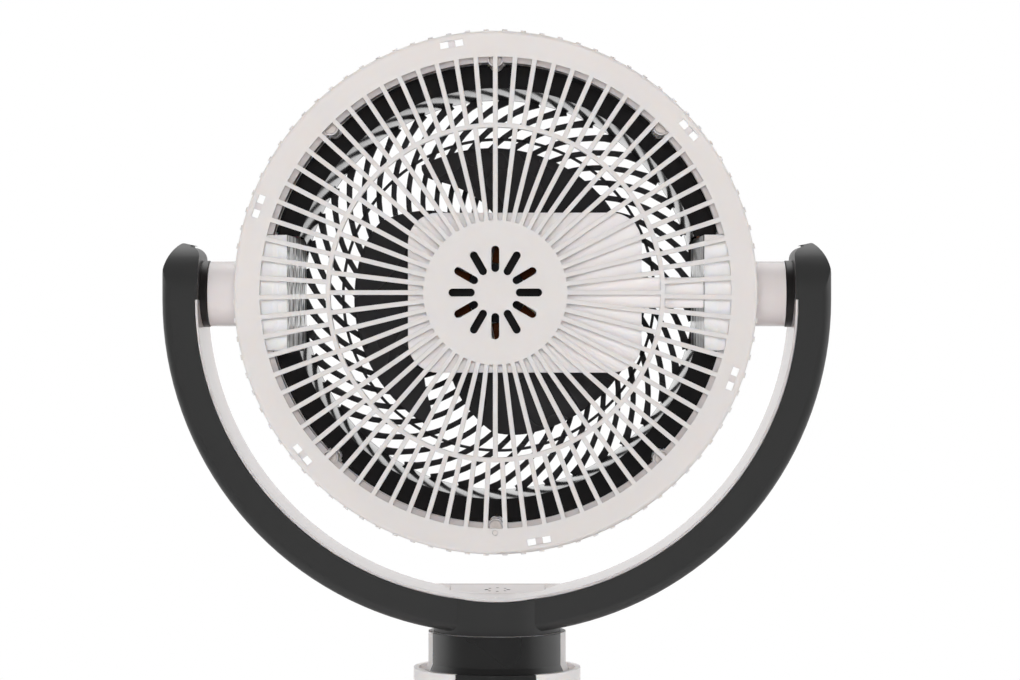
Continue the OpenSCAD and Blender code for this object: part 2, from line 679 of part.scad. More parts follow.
// A blade is a bent sheet: u runs from the front edge to the rear edge, v from hub to tip
function blade_tip(u) = blade_tip_r - 3.2 * (1 - u) - 2.3 * pow(max(0, 1 - u / 0.12), 2);
function blade_angle(u, r) = blade_lead_a - blade_span_a * (1 - u) + (0.85 + 0.14 * (1 - u)) * (r - impeller_hub_r)
    - 0.046 * u * pow(max(0, r - blade_tip_r + 14), 2);
function blade_height(u, r) = blade_front_z + (blade_rear_z - blade_front_z) * u
    + 5 * sin(180 * u) - 3 * (1 - 2 * u) * (r - impeller_hub_r) / (blade_tip_r - impeller_hub_r);
function blade_point(u, v, side) = let (root = impeller_hub_r - 3, r = root + (blade_tip(u) - root) * v,
    a = blade_angle(u, r)) [r * cos(a), -r * sin(a), blade_height(u, r) + side * blade_t / 2];
module blade() {
    nu = 12;
    nv = 7;
    row = nv + 1;
    layer = (nu + 1) * row;
    points = [for (side = [1, -1]) for (i = [0:nu]) for (j = [0:nv]) blade_point(i / nu, j / nv, side)];
    function at(i, j, s) = s * layer + i * row + j;
    low = [for (i = [0:nu - 1]) for (j = [0:nv - 1]) each
        [[at(i, j, 0), at(i, j + 1, 0), at(i + 1, j, 0)], [at(i + 1, j, 0), at(i, j + 1, 0), at(i + 1, j + 1, 0)]]];
    high = [for (i = [0:nu - 1]) for (j = [0:nv - 1]) each
        [[at(i, j, 1), at(i + 1, j, 1), at(i, j + 1, 1)], [at(i + 1, j, 1), at(i + 1, j + 1, 1), at(i, j + 1, 1)]]];
    ends = [for (j = [0:nv - 1]) each [
        [at(0, j, 0), at(0, j, 1), at(0, j + 1, 0)], [at(0, j + 1, 0), at(0, j, 1), at(0, j + 1, 1)],
        [at(nu, j, 0), at(nu, j + 1, 0), at(nu, j, 1)], [at(nu, j + 1, 0), at(nu, j + 1, 1), at(nu, j, 1)]]];
    sides = [for (i = [0:nu - 1]) each [
        [at(i, 0, 0), at(i + 1, 0, 0), at(i, 0, 1)], [at(i + 1, 0, 0), at(i + 1, 0, 1), at(i, 0, 1)],
        [at(i, nv, 0), at(i, nv, 1), at(i + 1, nv, 0)], [at(i + 1, nv, 0), at(i, nv, 1), at(i + 1, nv, 1)]]];
    polyhedron(points, concat(low, high, ends, sides), convexity = 6);
}
module impeller() color(black) from_rim() {
    for (i = [0:blade_count - 1]) rotate(i * 360 / blade_count) difference() {
        blade();
        translate([0, 0, impeller_start - 20]) cylinder(r = impeller_hub_r - 2, h = 100);
    }
    difference() {
        union() {
            translate([0, 0, impeller_start]) tube(impeller_hub_r, impeller_hub_r - 2.5, impeller_end - impeller_start);
            translate([0, 0, impeller_end - 3]) cylinder(r = impeller_hub_r - 1, h = 3);
            translate([0, 0, impeller_start + 1]) cylinder(r = 9, h = impeller_end - impeller_start);
            around(6) translate([5, -1, impeller_start + 10])
                cube([impeller_hub_r - 6, 2, impeller_end - impeller_start - 11]);
        }
        translate([0, 0, impeller_start - 5]) cylinder(r = shaft_r, h = 60);
    }
}
module impeller_nut() color(black) from_rim() translate([0, 0, impeller_end + 1]) difference() {
    union() {
        cylinder(r = 12, h = 3);
        cylinder(r = 9, h = nut_h);
    }
    translate([0, 0, -1]) cylinder(r = shaft_r, h = shaft_end - impeller_end);
}

// Tilt drive: a geared motor inside the left sleeve turns against the left collar
module tilt_motor() color(steel) tilt_axis(-1) {
    translate([0, 0, tilt_motor_back]) cylinder(r = tilt_motor_r, h = tilt_motor_len);
    translate([0, 0, tilt_motor_front - 1]) difference() {
        cylinder(r = 6, h = 3);
        cylinder(r = tilt_shaft_r + run_gap, h = 5);
    }
}
module bracket_screw_place() for (x = [-1, 1]) translate([x * (sleeve_r + 0.3), 0, 0]) children();
module tilt_motor_bracket() color(steel) tilt_axis(-1) difference() {
    translate([-24, -10, tilt_motor_back - 1.8]) cube([48, 20, 1.8]);
    bracket_screw_place() translate([0, 0, tilt_motor_back - 5]) cylinder(r = screw_r + 0.1, h = 10);
}
module tilt_bracket_screws() color(steel) tilt_axis(-1) bracket_screw_place()
    translate([0, 0, tilt_motor_back - 1.8]) screw(4.5, screw_r, 2.8, 2);
module tilt_bush(side, r) color(pom) tilt_axis(side)
    translate([0, 0, sleeve_end - sleeve_wall_t - bush_flange_t]) difference() {
        union() {
            cylinder(r = bush_flange_r, h = bush_flange_t);
            cylinder(r = r + bush_t, h = bush_flange_t + sleeve_wall_t);
        }
        translate([0, 0, -1]) cylinder(r = r + run_gap, h = 20);
    }
module tilt_bush_left() tilt_bush(-1, left_spigot_r);
module tilt_bush_right() tilt_bush(1, right_spigot_r);

// Yoke
module yoke_inside(inset = 0) seen_from_behind(arc_z) translate([0, 0, -100]) cylinder(r = yoke_in_r + inset, h = 200);
module collar(side) tilt_axis(side) {
    translate([0, 0, sleeve_end + collar_gap]) cylinder(r = collar_r, h = yoke_in_r - sleeve_end - collar_gap + 1);
    translate([0, 0, sleeve_end + 0.3]) cylinder(r = 9, h = yoke_in_r + yoke_wall + 1.7 - sleeve_end);
}
module collar_trimmed(side) difference() {
    collar(side);
    difference() {
        translate([side * (yoke_in_r + 8), 0, axis_z]) cube([20, 100, 100], center = true);
        translate([side * (yoke_in_r - 10), 0, arc_z + 50]) cube([20, 110, 100], center = true);
        yoke_inside();
        tilt_axis(side) cylinder(r = 9, h = yoke_in_r + yoke_wall + 2);
    }
}
module pivot_collar_left() color(dark) difference() {
    union() {
        collar_trimmed(-1);
        tilt_axis(-1) translate([0, 0, spigot_in]) cylinder(r = left_spigot_r, h = yoke_in_r - spigot_in);
    }
    tilt_axis(-1) cylinder(r = tilt_shaft_r, h = tilt_shaft_out);
}
module pivot_collar_right() color(dark) difference() {
    union() {
        collar_trimmed(1);
        tilt_axis(1) difference() {
            translate([0, 0, spigot_in - 2]) cylinder(r = right_spigot_r, h = yoke_in_r - spigot_in);
            translate([0, 0, sleeve_end - sleeve_wall_t - bush_flange_t - clip_t - 0.2])
                tube(right_spigot_r + 1, right_spigot_r - 1, clip_t);
        }
    }
    tilt_axis(1) cylinder(r = 6.5, h = 250);
}
module tilt_motor_shaft() color(steel) tilt_axis(-1) translate([0, 0, tilt_motor_front + 0.1])
    cylinder(r = tilt_shaft_r, h = tilt_shaft_out - tilt_motor_front - 0.1);
module pivot_clip() color(steel) tilt_axis(1)
    translate([0, 0, sleeve_end - sleeve_wall_t - bush_flange_t - clip_t - 0.2])
        tube(right_spigot_r + 3, right_spigot_r - 1, clip_t);

// Section of the yoke's wall: x is the radius, y runs forward
module corner_cut(x, y, way_x, way_y, r, inset) if (r > inset) translate([x - way_x * r, y - way_y * r])
    difference() {
        translate([way_x > 0 ? 0 : -r - 1, way_y > 0 ? 0 : -r - 1]) square(r + 1);
        circle(r = r - inset);
    }
module yoke_section(inset) difference() {
    translate([yoke_in_r + inset, -half_depth + inset])
        square([yoke_out_r - yoke_in_r - 2 * inset, yoke_depth - 2 * inset]);
    for (side = [-1, 1]) corner_cut(yoke_out_r, side * half_depth, 1, side, yoke_round, inset);
    corner_cut(yoke_in_r, half_depth, -1, 1, 3, inset);
    corner_cut(yoke_in_r, -half_depth, -1, -1, edge_t * 0.8, inset);
}
// The light shell's share of the section: the inner wall, its thin rear edge and the front
module front_share(gap) {
    translate([yoke_in_r - 5, -half_depth + yoke_wall - gap]) square([5 + yoke_wall + gap, yoke_depth + 10]);
    translate([yoke_in_r - 5, -half_depth - 5]) square([5 + edge_t + (gap > 0 ? groove : 0), 20]);
    translate([yoke_in_r - 5, split_y + 0.1 - gap]) square([yoke_out_r - yoke_in_r + 10, yoke_depth]);
}
module yoke_shell_section(front) {
    if (front) intersection() {
        difference() {
            yoke_section(0);
            yoke_section(yoke_wall);
        }
        front_share(0);
    } else difference() {
        yoke_section(0);
        yoke_section(yoke_wall);
        front_share(0.1);
    }
}
module yoke_arc(front) translate([0, 0, arc_z]) rotate([90, 0, 0]) mirror([0, 0, 1]) rotate([0, 0, 180])
    rotate_extrude(angle = 180, $fn = 180) yoke_shell_section(front);
// Outline of an arm's end from behind: a long curve outside, a gentle slope and a small curve inside
module tip_outline(inset) difference() {
    run = yoke_out_r - tip_apex - tip_flat - (yoke_in_r - 5);
    rise = tip_slope * (yoke_out_r + 5 - (yoke_in_r - 5)) / run;
    intersection() {
        polygon([[yoke_in_r - 5, -50], [yoke_out_r + 5, -50], [yoke_out_r + 5, half_depth - tip_slope + rise - inset],
            [yoke_in_r - 5, half_depth - tip_slope - inset]]);
        union() {
            translate([yoke_in_r - 10, -60]) square([60, 60 + tip_curve_z]);
            translate([yoke_out_r - tip_curve, tip_curve_z]) circle(r = tip_curve - inset);
        }
    }
    corner_cut(yoke_in_r, half_depth - 0.7 * tip_slope, -1, 1, tip_inner_curve, inset);
}
// An arm above the arc's centre, with a round end about the tilt axis
module arm_solid(inset) intersection() {
    translate([0, 0, arc_z]) linear_extrude(yoke_drop + half_depth + 5) yoke_section(inset);
    union() {
        translate([0, 0, axis_z]) rotate([0, 90, 0]) cylinder(r = half_depth - inset, h = 400);
        translate([0, -half_depth, axis_z - 50]) cube([400, yoke_depth, 50]);
    }
    translate([0, 100, axis_z]) rotate([90, 0, 0]) linear_extrude(200) tip_outline(inset);
}
module arm(front) difference() {
    arm_solid(0);
    arm_solid(yoke_wall);
    translate([0, 0, arc_z - 1]) linear_extrude(60) {
        if (front) translate([yoke_in_r - 10, -half_depth - 5]) square([50, half_depth + 5 + split_y + 0.1]);
        else translate([yoke_in_r - 10, split_y]) square([50, yoke_depth]);
    }
}
module arms(front) for (side = [0, 1]) mirror([side, 0, 0]) arm(front);
// The upright hub under the yoke: a floor and a round wall, open inside the yoke's own hollow
module hub_shell(top_gap) difference() {
    translate([0, 0, hub_bottom]) cylinder(r = yoke_hub_r, h = 60);
    translate([0, 0, hub_bottom + yoke_wall]) cylinder(r = yoke_hub_r - yoke_wall, h = 60);
    yoke_inside(top_gap);
    intersection() {
        yoke_inside(yoke_out_r - yoke_in_r - yoke_wall + 0.5);
        translate([0, 0, arc_z]) cube([200, yoke_depth - yoke_wall, 600], center = true);
    }
}
module hub_screw_place() for (a = [45, 135, 225, 315]) rotate(a) translate([yoke_hub_r - 14, 0, 0]) children();
module yoke_rear_shell() color(dark) difference() {
    union() {
        yoke_arc(false);
        arms(false);
        difference() {
            hub_shell(edge_t + groove);
            translate([-60, split_y, 0]) cube([120, 100, 600]);
        }
        hub_screw_place() translate([0, 0, hub_bottom]) cylinder(r = 4.2, h = 13);
    }
    translate([0, 0, hub_bottom - 1]) cylinder(r = 13, h = 8);
    hub_screw_place() translate([0, 0, hub_bottom - 1]) cylinder(r = screw_r, h = 11);
    for (side = [-1, 1]) tilt_axis(side) cylinder(r = 9.1, h = yoke_in_r + yoke_wall + 2);
}
// The light cap that closes the hub's bulges, level with the yoke's inner surface
module hub_cap() difference() {
    union() {
        intersection() {
            translate([0, 0, arc_z - yoke_in_r - 8]) cylinder(r = yoke_hub_r, h = 12);
            yoke_inside(edge_t);
        }
        difference() {
            intersection() {
                translate([0, 0, arc_z - yoke_in_r - 8]) cylinder(r = yoke_hub_r - yoke_wall - 0.1, h = 12);
                yoke_inside(yoke_wall);
            }
            translate([0, 0, arc_z]) cube([200, yoke_depth + 0.2, 600], center = true);
        }
    }
    yoke_inside();
    translate([0, 0, arc_z]) cube([200, yoke_depth - 2 * yoke_wall, 600], center = true);
}
// Raised seat of the control panel: it climbs to the front edge, then falls over the hub's front
module panel_seat() intersection() {
    translate([60, 0, arc_z - yoke_in_r]) rotate([90, 0, -90]) linear_extrude(120)
        polygon([[2, -2], [0, 0], [-half_depth, panel_rise], [-yoke_hub_r - 0.5, 0.2],
            [-yoke_hub_r - 0.5, -yoke_wall + 0.1], [2, -yoke_wall + 0.1]]);
    yoke_inside(yoke_wall - 0.1);
    union() {
        translate([-60, -5, 0]) cube([120, half_depth + 5, arc_z]);
        cylinder(r = yoke_hub_r, h = arc_z);
    }
}
module panel_plane(extra) translate([0, 0, arc_z - yoke_in_r]) rotate([atan(panel_rise / half_depth), 0, 0])
    translate([-panel_w / 2 - extra, 3 - extra, -panel_t])
        cube([panel_w + 2 * extra, half_depth - 7 + 2 * extra, panel_t + (extra > 0 ? 20 : 0)]);
module yoke_front_shell() color(light) difference() {
    union() {
        yoke_arc(true);
        arms(true);
        difference() {
            hub_shell(0);
            translate([-60, split_y + 0.1 - 100, 0]) cube([120, 100, 600]);
        }
        hub_cap();
        panel_seat();
    }
    panel_plane(0.15);
    translate([0, -half_depth + 7, arc_z - yoke_in_r - 10]) cylinder(r = 1.1, h = 20);
    for (side = [-1, 1]) tilt_axis(side) cylinder(r = 9.1, h = 250);
}
module yoke_screw() color(steel) translate([0, -half_depth + 7, arc_z - yoke_in_r - 9]) cylinder(r = 1.1, h = 8.4);
module control_panel() color([0.9, 0.9, 0.9]) panel_plane(0);
module control_board() color(board_green) translate([0, 2, arc_z - yoke_in_r - yoke_wall - 5]) {
    translate([-24, -20, 0]) cube([48, 40, 1.6]);
    for (x = [-15, 0, 15]) for (y = [-8, 8]) translate([x, y, 1.5]) cylinder(r = 2.5, h = 3);
    translate([-8, -6, -3]) cube([16, 10, 3.1]);
}

// Neck
module rear_part(y) translate([-100, -200, 0]) cube([200, 200 - y, 600]);
module neck() color(light) difference() {
    union() {
        translate([0, 0, neck_low]) tube(neck_r, neck_r - neck_wall - neck_cover_t, neck_top - neck_low);
        translate([0, 0, neck_top - neck_plate_t]) cylinder(r = neck_r - 1, h = neck_plate_t);
        translate([0, 0, neck_low]) cylinder(r = neck_r, h = web_top - neck_low);
        translate([0, 0, hub_low]) cylinder(r = hub_out_r, h = web_top - hub_low);
        translate([0, 0, yaw_gear_z + yaw_gear_t]) cylinder(r = yaw_gear_r - 2, h = yaw_flange_t);
        translate([0, 0, column_top - 2]) intersection() {
            cylinder(r1 = neck_r + neck_flare, r2 = neck_r, h = 5);
            cylinder(r = 60, h = 5);
        }
    }
    translate([0, 0, hub_low - 1]) cylinder(r = post_out_r + run_gap, h = web_top - hub_low + 2);
    translate([0, 0, neck_top - 10]) cylinder(r = 14, h = 20);
    hub_screw_place() translate([0, 0, neck_top - 10]) cylinder(r = screw_r + 0.15, h = 20);
    for (a = [90, 210, 330]) rotate(a) translate([gear_screw_ring, 0, yaw_gear_z])
        cylinder(r = screw_r, h = yaw_gear_t + yaw_flange_t + 5);
    intersection() {
        translate([0, 0, web_top + 1]) tube(neck_r + 10, neck_r - neck_cover_t, 100);
        rear_part(seam_y);
    }
}
module neck_rear_cover() color(dark) intersection() {
    translate([0, 0, web_top + 1.3]) difference() {
        union() {
            cylinder(r = neck_r, h = neck_top - 0.1 - web_top - 1.3);
            translate([0, 0, column_top - 2 - web_top - 1.3]) cylinder(r1 = neck_r + neck_flare, r2 = neck_r, h = 5);
        }
        translate([0, 0, -1]) cylinder(r = neck_r - neck_cover_t + 0.05, h = 100);
    }
    rear_part(seam_y + 0.2);
}
module neck_screws() color(steel) hub_screw_place() translate([0, 0, neck_top - neck_plate_t])
    screw(13, screw_r, 2.8, 2);
module yaw_gear() color(pom) translate([0, 0, yaw_gear_z]) difference() {
    linear_extrude(yaw_gear_t) gear_outline(yaw_gear_teeth, yaw_module);
    translate([0, 0, -1]) cylinder(r = hub_out_r + 0.05, h = 20);
    for (a = [90, 210, 330]) rotate(a) translate([gear_screw_ring, 0, -1]) {
        cylinder(r = screw_r + 0.1, h = 20);
        cylinder(r = 3, h = 3.2);
    }
}
module yaw_gear_screws() color(steel) for (a = [90, 210, 330]) rotate(a)
    translate([gear_screw_ring, 0, yaw_gear_z + 2.2]) screw(yaw_gear_t + yaw_flange_t - 2.5, screw_r, 2.8, 2);
module yaw_place() translate([0, yaw_distance, 0]) children();
module yaw_pinion() color(pom) yaw_place() translate([0, 0, yaw_gear_z - 0.5]) difference() {
    rotate(90 + 180 / yaw_pinion_teeth) linear_extrude(yaw_gear_t + 1) gear_outline(yaw_pinion_teeth, yaw_module);
    translate([0, 0, -1]) cylinder(r = yaw_shaft_r, h = 20);
}
module yaw_motor_shaft() color(steel) yaw_place() translate([0, 0, plate_top + yaw_motor_h - 2])
    cylinder(r = yaw_shaft_r, h = yaw_gear_z + yaw_gear_t + 0.5 - plate_top - yaw_motor_h + 2);
module yaw_motor() color(steel) yaw_place() translate([0, 0, plate_top]) difference() {
    union() {
        cylinder(r = yaw_motor_r, h = yaw_motor_h);
        translate([-25, -4, 0]) cube([50, 8, 2]);
    }
    translate([0, 0, yaw_motor_h - 2.5]) cylinder(r = yaw_shaft_r + run_gap, h = 5);
    for (x = [-21, 21]) translate([x, 0, -1]) cylinder(r = screw_r + 0.1, h = 5);
}
module yaw_motor_screws() color(steel) yaw_place() for (x = [-21, 21]) translate([x, 0, plate_top + 2])
    mirror([0, 0, 1]) screw(8, screw_r, 2.8, 2);
module centre_post() color(steel) difference() {
    union() {
        translate([0, 0, plate_z]) cylinder(r = 10, h = weight_t + 1);
        translate([0, 0, plate_top]) cylinder(r = shoulder_r, h = shoulder_top - plate_top);
        translate([0, 0, plate_top]) cylinder(r = post_out_r, h = post_top - plate_top);
    }
    translate([0, 0, plate_z - 1]) cylinder(r = post_in_r, h = 100);
    translate([0, 0, web_top + 0.3]) tube(post_out_r + 1, post_out_r - 1, 1.3);
}
module thrust_washer() color(pom) translate([0, 0, shoulder_top]) tube(hub_out_r, post_out_r + 0.1, washer_t);
module post_clip() color(steel) translate([0, 0, web_top + 0.3]) tube(post_out_r + 3, post_out_r - 1, 1.3);

// Base
module base_profile(inset) {
    high = inset > 0 ? 10 : 0;
    square([column_r - inset, column_top + high]);
    difference() {
        square([flare_end_r, base_top + flare_r]);
        translate([flare_end_r, base_top + flare_r]) circle(r = flare_r + inset);
    }
    top_end = 0.996 * (edge_round - inset);
    polygon([[0, edge_bottom - 5], [base_r - inset, edge_bottom - 5], [base_r - inset, base_edge_h],
        [base_r - edge_round + top_end * cos(84), base_edge_h + top_end * sin(84)],
        [flare_end_r, base_top - inset], [0, base_top - inset]]);
    translate([base_r - edge_round, base_edge_h]) circle(r = edge_round - inset);
}
panel_a = asin(rear_panel_w / 2 / column_r);
module panel_sector(gap) translate([0, 0, panel_low - gap]) rotate(270 - panel_a - gap)
    rotate_extrude(angle = 2 * (panel_a + gap)) translate([column_in_r - 3, 0]) square([20, 60]);
module base_shell() color(light) difference() {
    union() {
        difference() {
            rotate_extrude() base_profile(0);
            rotate_extrude() base_profile(base_wall);
        }
        intersection() {
            rotate_extrude() base_profile(1);
            union() {
                for (a = weight_angles) rotate(a) translate([weight_screw_ring, 0, plate_top]) cylinder(r = 5, h = 40);
                for (i = [0:foot_count - 1]) rotate(54 + i * 72) translate([cover_screw_ring, 0, cover_z + cover_t])
                    cylinder(r = 4.5, h = 40);
                for (x = [-25, 25]) for (y = [-80, -58]) translate([x, y, plate_top + 4.6]) cylinder(r = 3, h = 40);
                translate([0, 0, ring_top - ring_t - 2]) tube(column_r - 1, column_in_r - 1.6, 2);
            }
        }
    }
    translate([0, 0, edge_bottom - 20]) cylinder(r = base_r + 10, h = 20);
    for (a = weight_angles) rotate(a) translate([weight_screw_ring, 0, 0]) cylinder(r = screw_r, h = plate_top + 8);
    for (i = [0:foot_count - 1]) rotate(54 + i * 72) translate([cover_screw_ring, 0, 0]) cylinder(r = screw_r, h = 16);
    panel_sector(0);
}
module column_ring() color(light) translate([0, 0, ring_top - ring_t])
    tube(column_in_r - 0.05, neck_r + neck_flare + 0.7, ring_t);
module column_rear_panel() color(dark) difference() {
    translate([0, 0, panel_low]) rotate(270 - panel_a + 0.3) rotate_extrude(angle = 2 * panel_a - 0.6)
        translate([column_in_r, 0]) square([base_wall, column_top - panel_low]);
    translate([0, 0, jack_z]) rotate([90, 0, 0]) cylinder(r = jack_hole_r, h = 100);
}
module power_jack() color(black) translate([0, -column_r + jack_recess_d, jack_z]) rotate([-90, 0, 0]) {
    difference() {
        union() {
            translate([0, 0, 1 - jack_recess_d]) cylinder(r = jack_hole_r - 0.1, h = jack_recess_d + 9);
            translate([0, 0, -0.3]) cylinder(r = jack_hole_r + 2, h = 2);
        }
        translate([0, 0, -jack_recess_d]) cylinder(r = jack_hole_r - 0.8, h = jack_recess_d);
        translate([0, 0, -1]) cylinder(r = 2.85, h = 9.5);
    }
    translate([0, 0, -0.5]) cylinder(r = 1, h = 10);
}
module power_board() color(board_green) translate([0, 0, plate_top + 3]) {
    translate([-30, -84, 0]) cube([60, 31, 1.6]);
    translate([-16, -78, 1.5]) cube([14, 10, 4]);
    translate([6, -74, 1.5]) cylinder(r = 4, h = 5);
}
module base_weight() color(dark) translate([0, 0, plate_z]) difference() {
    cylinder(r = weight_r, h = weight_t);
    translate([0, 0, -1]) cylinder(r = 10, h = 30);
    for (a = weight_angles) rotate(a) translate([weight_screw_ring, 0, -1]) {
        cylinder(r = screw_r + 0.1, h = 30);
        cylinder(r = 3.4, h = 4);
    }
    for (x = [-21, 21]) translate([x, yaw_distance, weight_t - 7]) cylinder(r = screw_r, h = 10);
}
module weight_screws() color(steel) for (a = weight_angles) rotate(a)
    translate([weight_screw_ring, 0, plate_z + 3]) screw(weight_t + 3, screw_r, screw_head_r, 2.4);
module bottom_cover() color(dark) difference() {
    translate([0, 0, cover_z]) cylinder(r = base_r - base_wall - 0.5, h = cover_t);
    for (i = [0:foot_count - 1]) {
        rotate(18 + i * 72) translate([foot_ring, 0, 0]) cylinder(r = foot_r + 0.1, h = foot_t);
        rotate(54 + i * 72) translate([cover_screw_ring, 0, 0]) {
            cylinder(r = screw_r + 0.1, h = 10);
            cylinder(r = screw_head_r + 0.2, h = cover_z + 1);
        }
    }
}
module bottom_screws() color(steel) for (i = [0:foot_count - 1]) rotate(54 + i * 72)
    translate([cover_screw_ring, 0, cover_z + 1]) screw(10, screw_r, screw_head_r, 1);
module feet() color(dark) for (i = [0:foot_count - 1]) rotate(18 + i * 72) translate([foot_ring, 0, 0])
    cylinder(r = foot_r, h = foot_t);

rear_grille();
grille_lock_screw();
barrel();
barrel_screws();
front_housing();
duct();
front_grille();
side_cover_left();
side_cover_right();
motor_cover();
motor_cover_screws();
motor_housing();
motor_housing_screws();
stator_core();
stator_coils();
motor_bearings();
motor_board();
tilt_motor();
tilt_motor_bracket();
tilt_bracket_screws();
tilt_bush_left();
tilt_bush_right();
motor_rotor();
rotor_magnets();
motor_shaft();
impeller();
impeller_nut();
yoke_rear_shell();
yoke_front_shell();
yoke_screw();
control_panel();
control_board();
pivot_collar_left();
pivot_collar_right();
tilt_motor_shaft();
pivot_clip();
neck();
neck_rear_cover();
neck_screws();
yaw_gear();
yaw_gear_screws();
yaw_pinion();
yaw_motor_shaft();
yaw_motor();
yaw_motor_screws();
base_shell();
column_ring();
column_rear_panel();
power_jack();
power_board();
centre_post();
thrust_washer();
post_clip();
base_weight();
weight_screws();
bottom_cover();
bottom_screws();
feet();
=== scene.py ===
import math

import bpy
import numpy as np
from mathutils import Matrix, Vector


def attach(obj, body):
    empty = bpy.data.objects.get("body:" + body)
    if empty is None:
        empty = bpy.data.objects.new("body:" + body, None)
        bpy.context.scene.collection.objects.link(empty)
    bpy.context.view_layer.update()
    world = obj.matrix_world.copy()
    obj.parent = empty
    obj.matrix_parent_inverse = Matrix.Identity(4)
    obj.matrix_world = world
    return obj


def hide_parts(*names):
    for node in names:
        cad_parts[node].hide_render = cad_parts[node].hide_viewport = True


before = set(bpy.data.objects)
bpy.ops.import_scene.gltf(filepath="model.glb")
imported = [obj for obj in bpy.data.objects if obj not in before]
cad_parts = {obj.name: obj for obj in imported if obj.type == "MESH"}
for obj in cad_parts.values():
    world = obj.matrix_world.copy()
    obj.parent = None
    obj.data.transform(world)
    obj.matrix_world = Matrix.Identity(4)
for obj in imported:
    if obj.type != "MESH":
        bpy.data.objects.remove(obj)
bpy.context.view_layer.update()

print("circulator: the packed frame is in, dressing it")

# Places on the object, in metres; they repeat the part's own drawing
axisZ = 0.320          # height of the tilt axis
rimY = -0.060          # rear rim of the head
mm = 0.001             # one millimetre

# Behind the head, a little right of its axis and 25 mm below it, almost level. Place and sight are in metres,
# lens and sensor in millimetres, the two turns in degrees
cameraSet = {"place": (0.034, -1.860, 0.295), "lens": 104.1, "sensor": 36.0, "turnLeft": 0.796,
             "pitchDown": 0.127, "sight": 60.0}


def addCamera():
    s = cameraSet
    data = bpy.data.cameras.new("photoCamera")
    data.lens = s["lens"]
    data.sensor_width = s["sensor"]
    data.clip_end = s["sight"]
    camera = bpy.data.objects.new("photoCamera", data)
    camera.location = s["place"]
    camera.rotation_euler = (math.radians(90 - s["pitchDown"]), 0, math.radians(s["turnLeft"]))
    bpy.context.scene.collection.objects.link(camera)
    bpy.context.scene.camera = camera


addCamera()
print("camera set behind the head")


# Colours are written as on the screen and turned to linear here
def linear(hexColour):
    values = [int(hexColour[i:i + 2], 16) / 255 for i in (1, 3, 5)]
    return tuple(v / 12.92 if v <= 0.04045 else ((v + 0.055) / 1.055) ** 2.4 for v in values) + (1.0,)


# A setting is keyed by the node's attribute or a socket's name, a link by the socket's name or number
def addNode(tree, kind, settings=None, links=None):
    node = tree.nodes.new(kind)
    for key, value in (settings or {}).items():
        if hasattr(node, key) and key not in node.inputs.keys():
            setattr(node, key, value)
        else:
            node.inputs[key].default_value = value
    for key, socket in (links or {}).items():
        tree.links.new(socket, node.inputs[key])
    return node


def startMaterial(name):
    material = bpy.data.materials.new(name)
    material.use_nodes = True
    tree = material.node_tree
    tree.nodes.clear()
    out = addNode(tree, "ShaderNodeOutputMaterial")
    return material, tree, out


# What all finishes share. The noise lies between low and high nearly everywhere. Light strays up to strayMm
# inside the plastic, red the furthest, so that thin pale walls glow a little
finishSet = {"low": 0.3, "high": 0.7, "bump": 0.5, "edgeSamples": 4, "ior": 1.5, "strayMm": 3.0,
             "strayRgb": (1.0, 0.82, 0.66)}


# A moulded or cast surface. Its colour drifts by drift over driftMm, and its roughness by roughDrift. A grain
# of grainMm is grainDepth mm deep, and stretch below 1 draws it out along that axis. Edges are softened by
# edgeMm, glow is the share of light that strays inside, and gloss is how strongly it mirrors
def mouldedFinish(name, colour, roughness, driftMm=40.0, drift=0.006, roughDrift=0.03, grainMm=0.6,
                  grainDepth=0.02, stretch=(1, 1, 1), edgeMm=0.4, metallic=0.0, glow=0.0, gloss=0.5):
    s = finishSet
    material, tree, out = startMaterial(name)
    place = addNode(tree, "ShaderNodeTexCoord")
    wide = addNode(tree, "ShaderNodeTexNoise", {"Scale": 1 / (driftMm * mm), "Detail": 2.0},
                   {"Vector": place.outputs["Object"]})
    base = np.array(linear(colour)[:3])
    ramp = addNode(tree, "ShaderNodeValToRGB", {}, {"Fac": wide.outputs["Fac"]})
    for end, position, tone in ((0, s["low"], 1 - drift), (1, s["high"], 1 + drift)):
        ramp.color_ramp.elements[end].position = position
        ramp.color_ramp.elements[end].color = tuple(np.minimum(base * tone, 1)) + (1,)
    rough = addNode(tree, "ShaderNodeMapRange",
                    {"From Min": s["low"], "From Max": s["high"],
                     "To Min": roughness - roughDrift, "To Max": roughness + roughDrift},
                    {"Value": wide.outputs["Fac"]})
    drawn = addNode(tree, "ShaderNodeMapping", {"Scale": stretch}, {"Vector": place.outputs["Object"]})
    fine = addNode(tree, "ShaderNodeTexNoise", {"Scale": 1 / (grainMm * mm), "Detail": 1.0},
                   {"Vector": drawn.outputs["Vector"]})
    edge = addNode(tree, "ShaderNodeBevel", {"samples": s["edgeSamples"], "Radius": edgeMm * mm})
    grain = addNode(tree, "ShaderNodeBump", {"Strength": s["bump"], "Distance": grainDepth * mm},
                    {"Height": fine.outputs["Fac"], "Normal": edge.outputs["Normal"]})
    shader = addNode(tree, "ShaderNodeBsdfPrincipled",
                     {"Metallic": metallic, "IOR": s["ior"], "Specular IOR Level": gloss,
                      "Subsurface Weight": glow, "Subsurface Radius": s["strayRgb"],
                      "Subsurface Scale": s["strayMm"] * mm},
                     {"Base Color": ramp.outputs["Color"], "Roughness": rough.outputs["Result"],
                      "Normal": grain.outputs["Normal"]})
    tree.links.new(shader.outputs["BSDF"], out.inputs["Surface"])
    return material


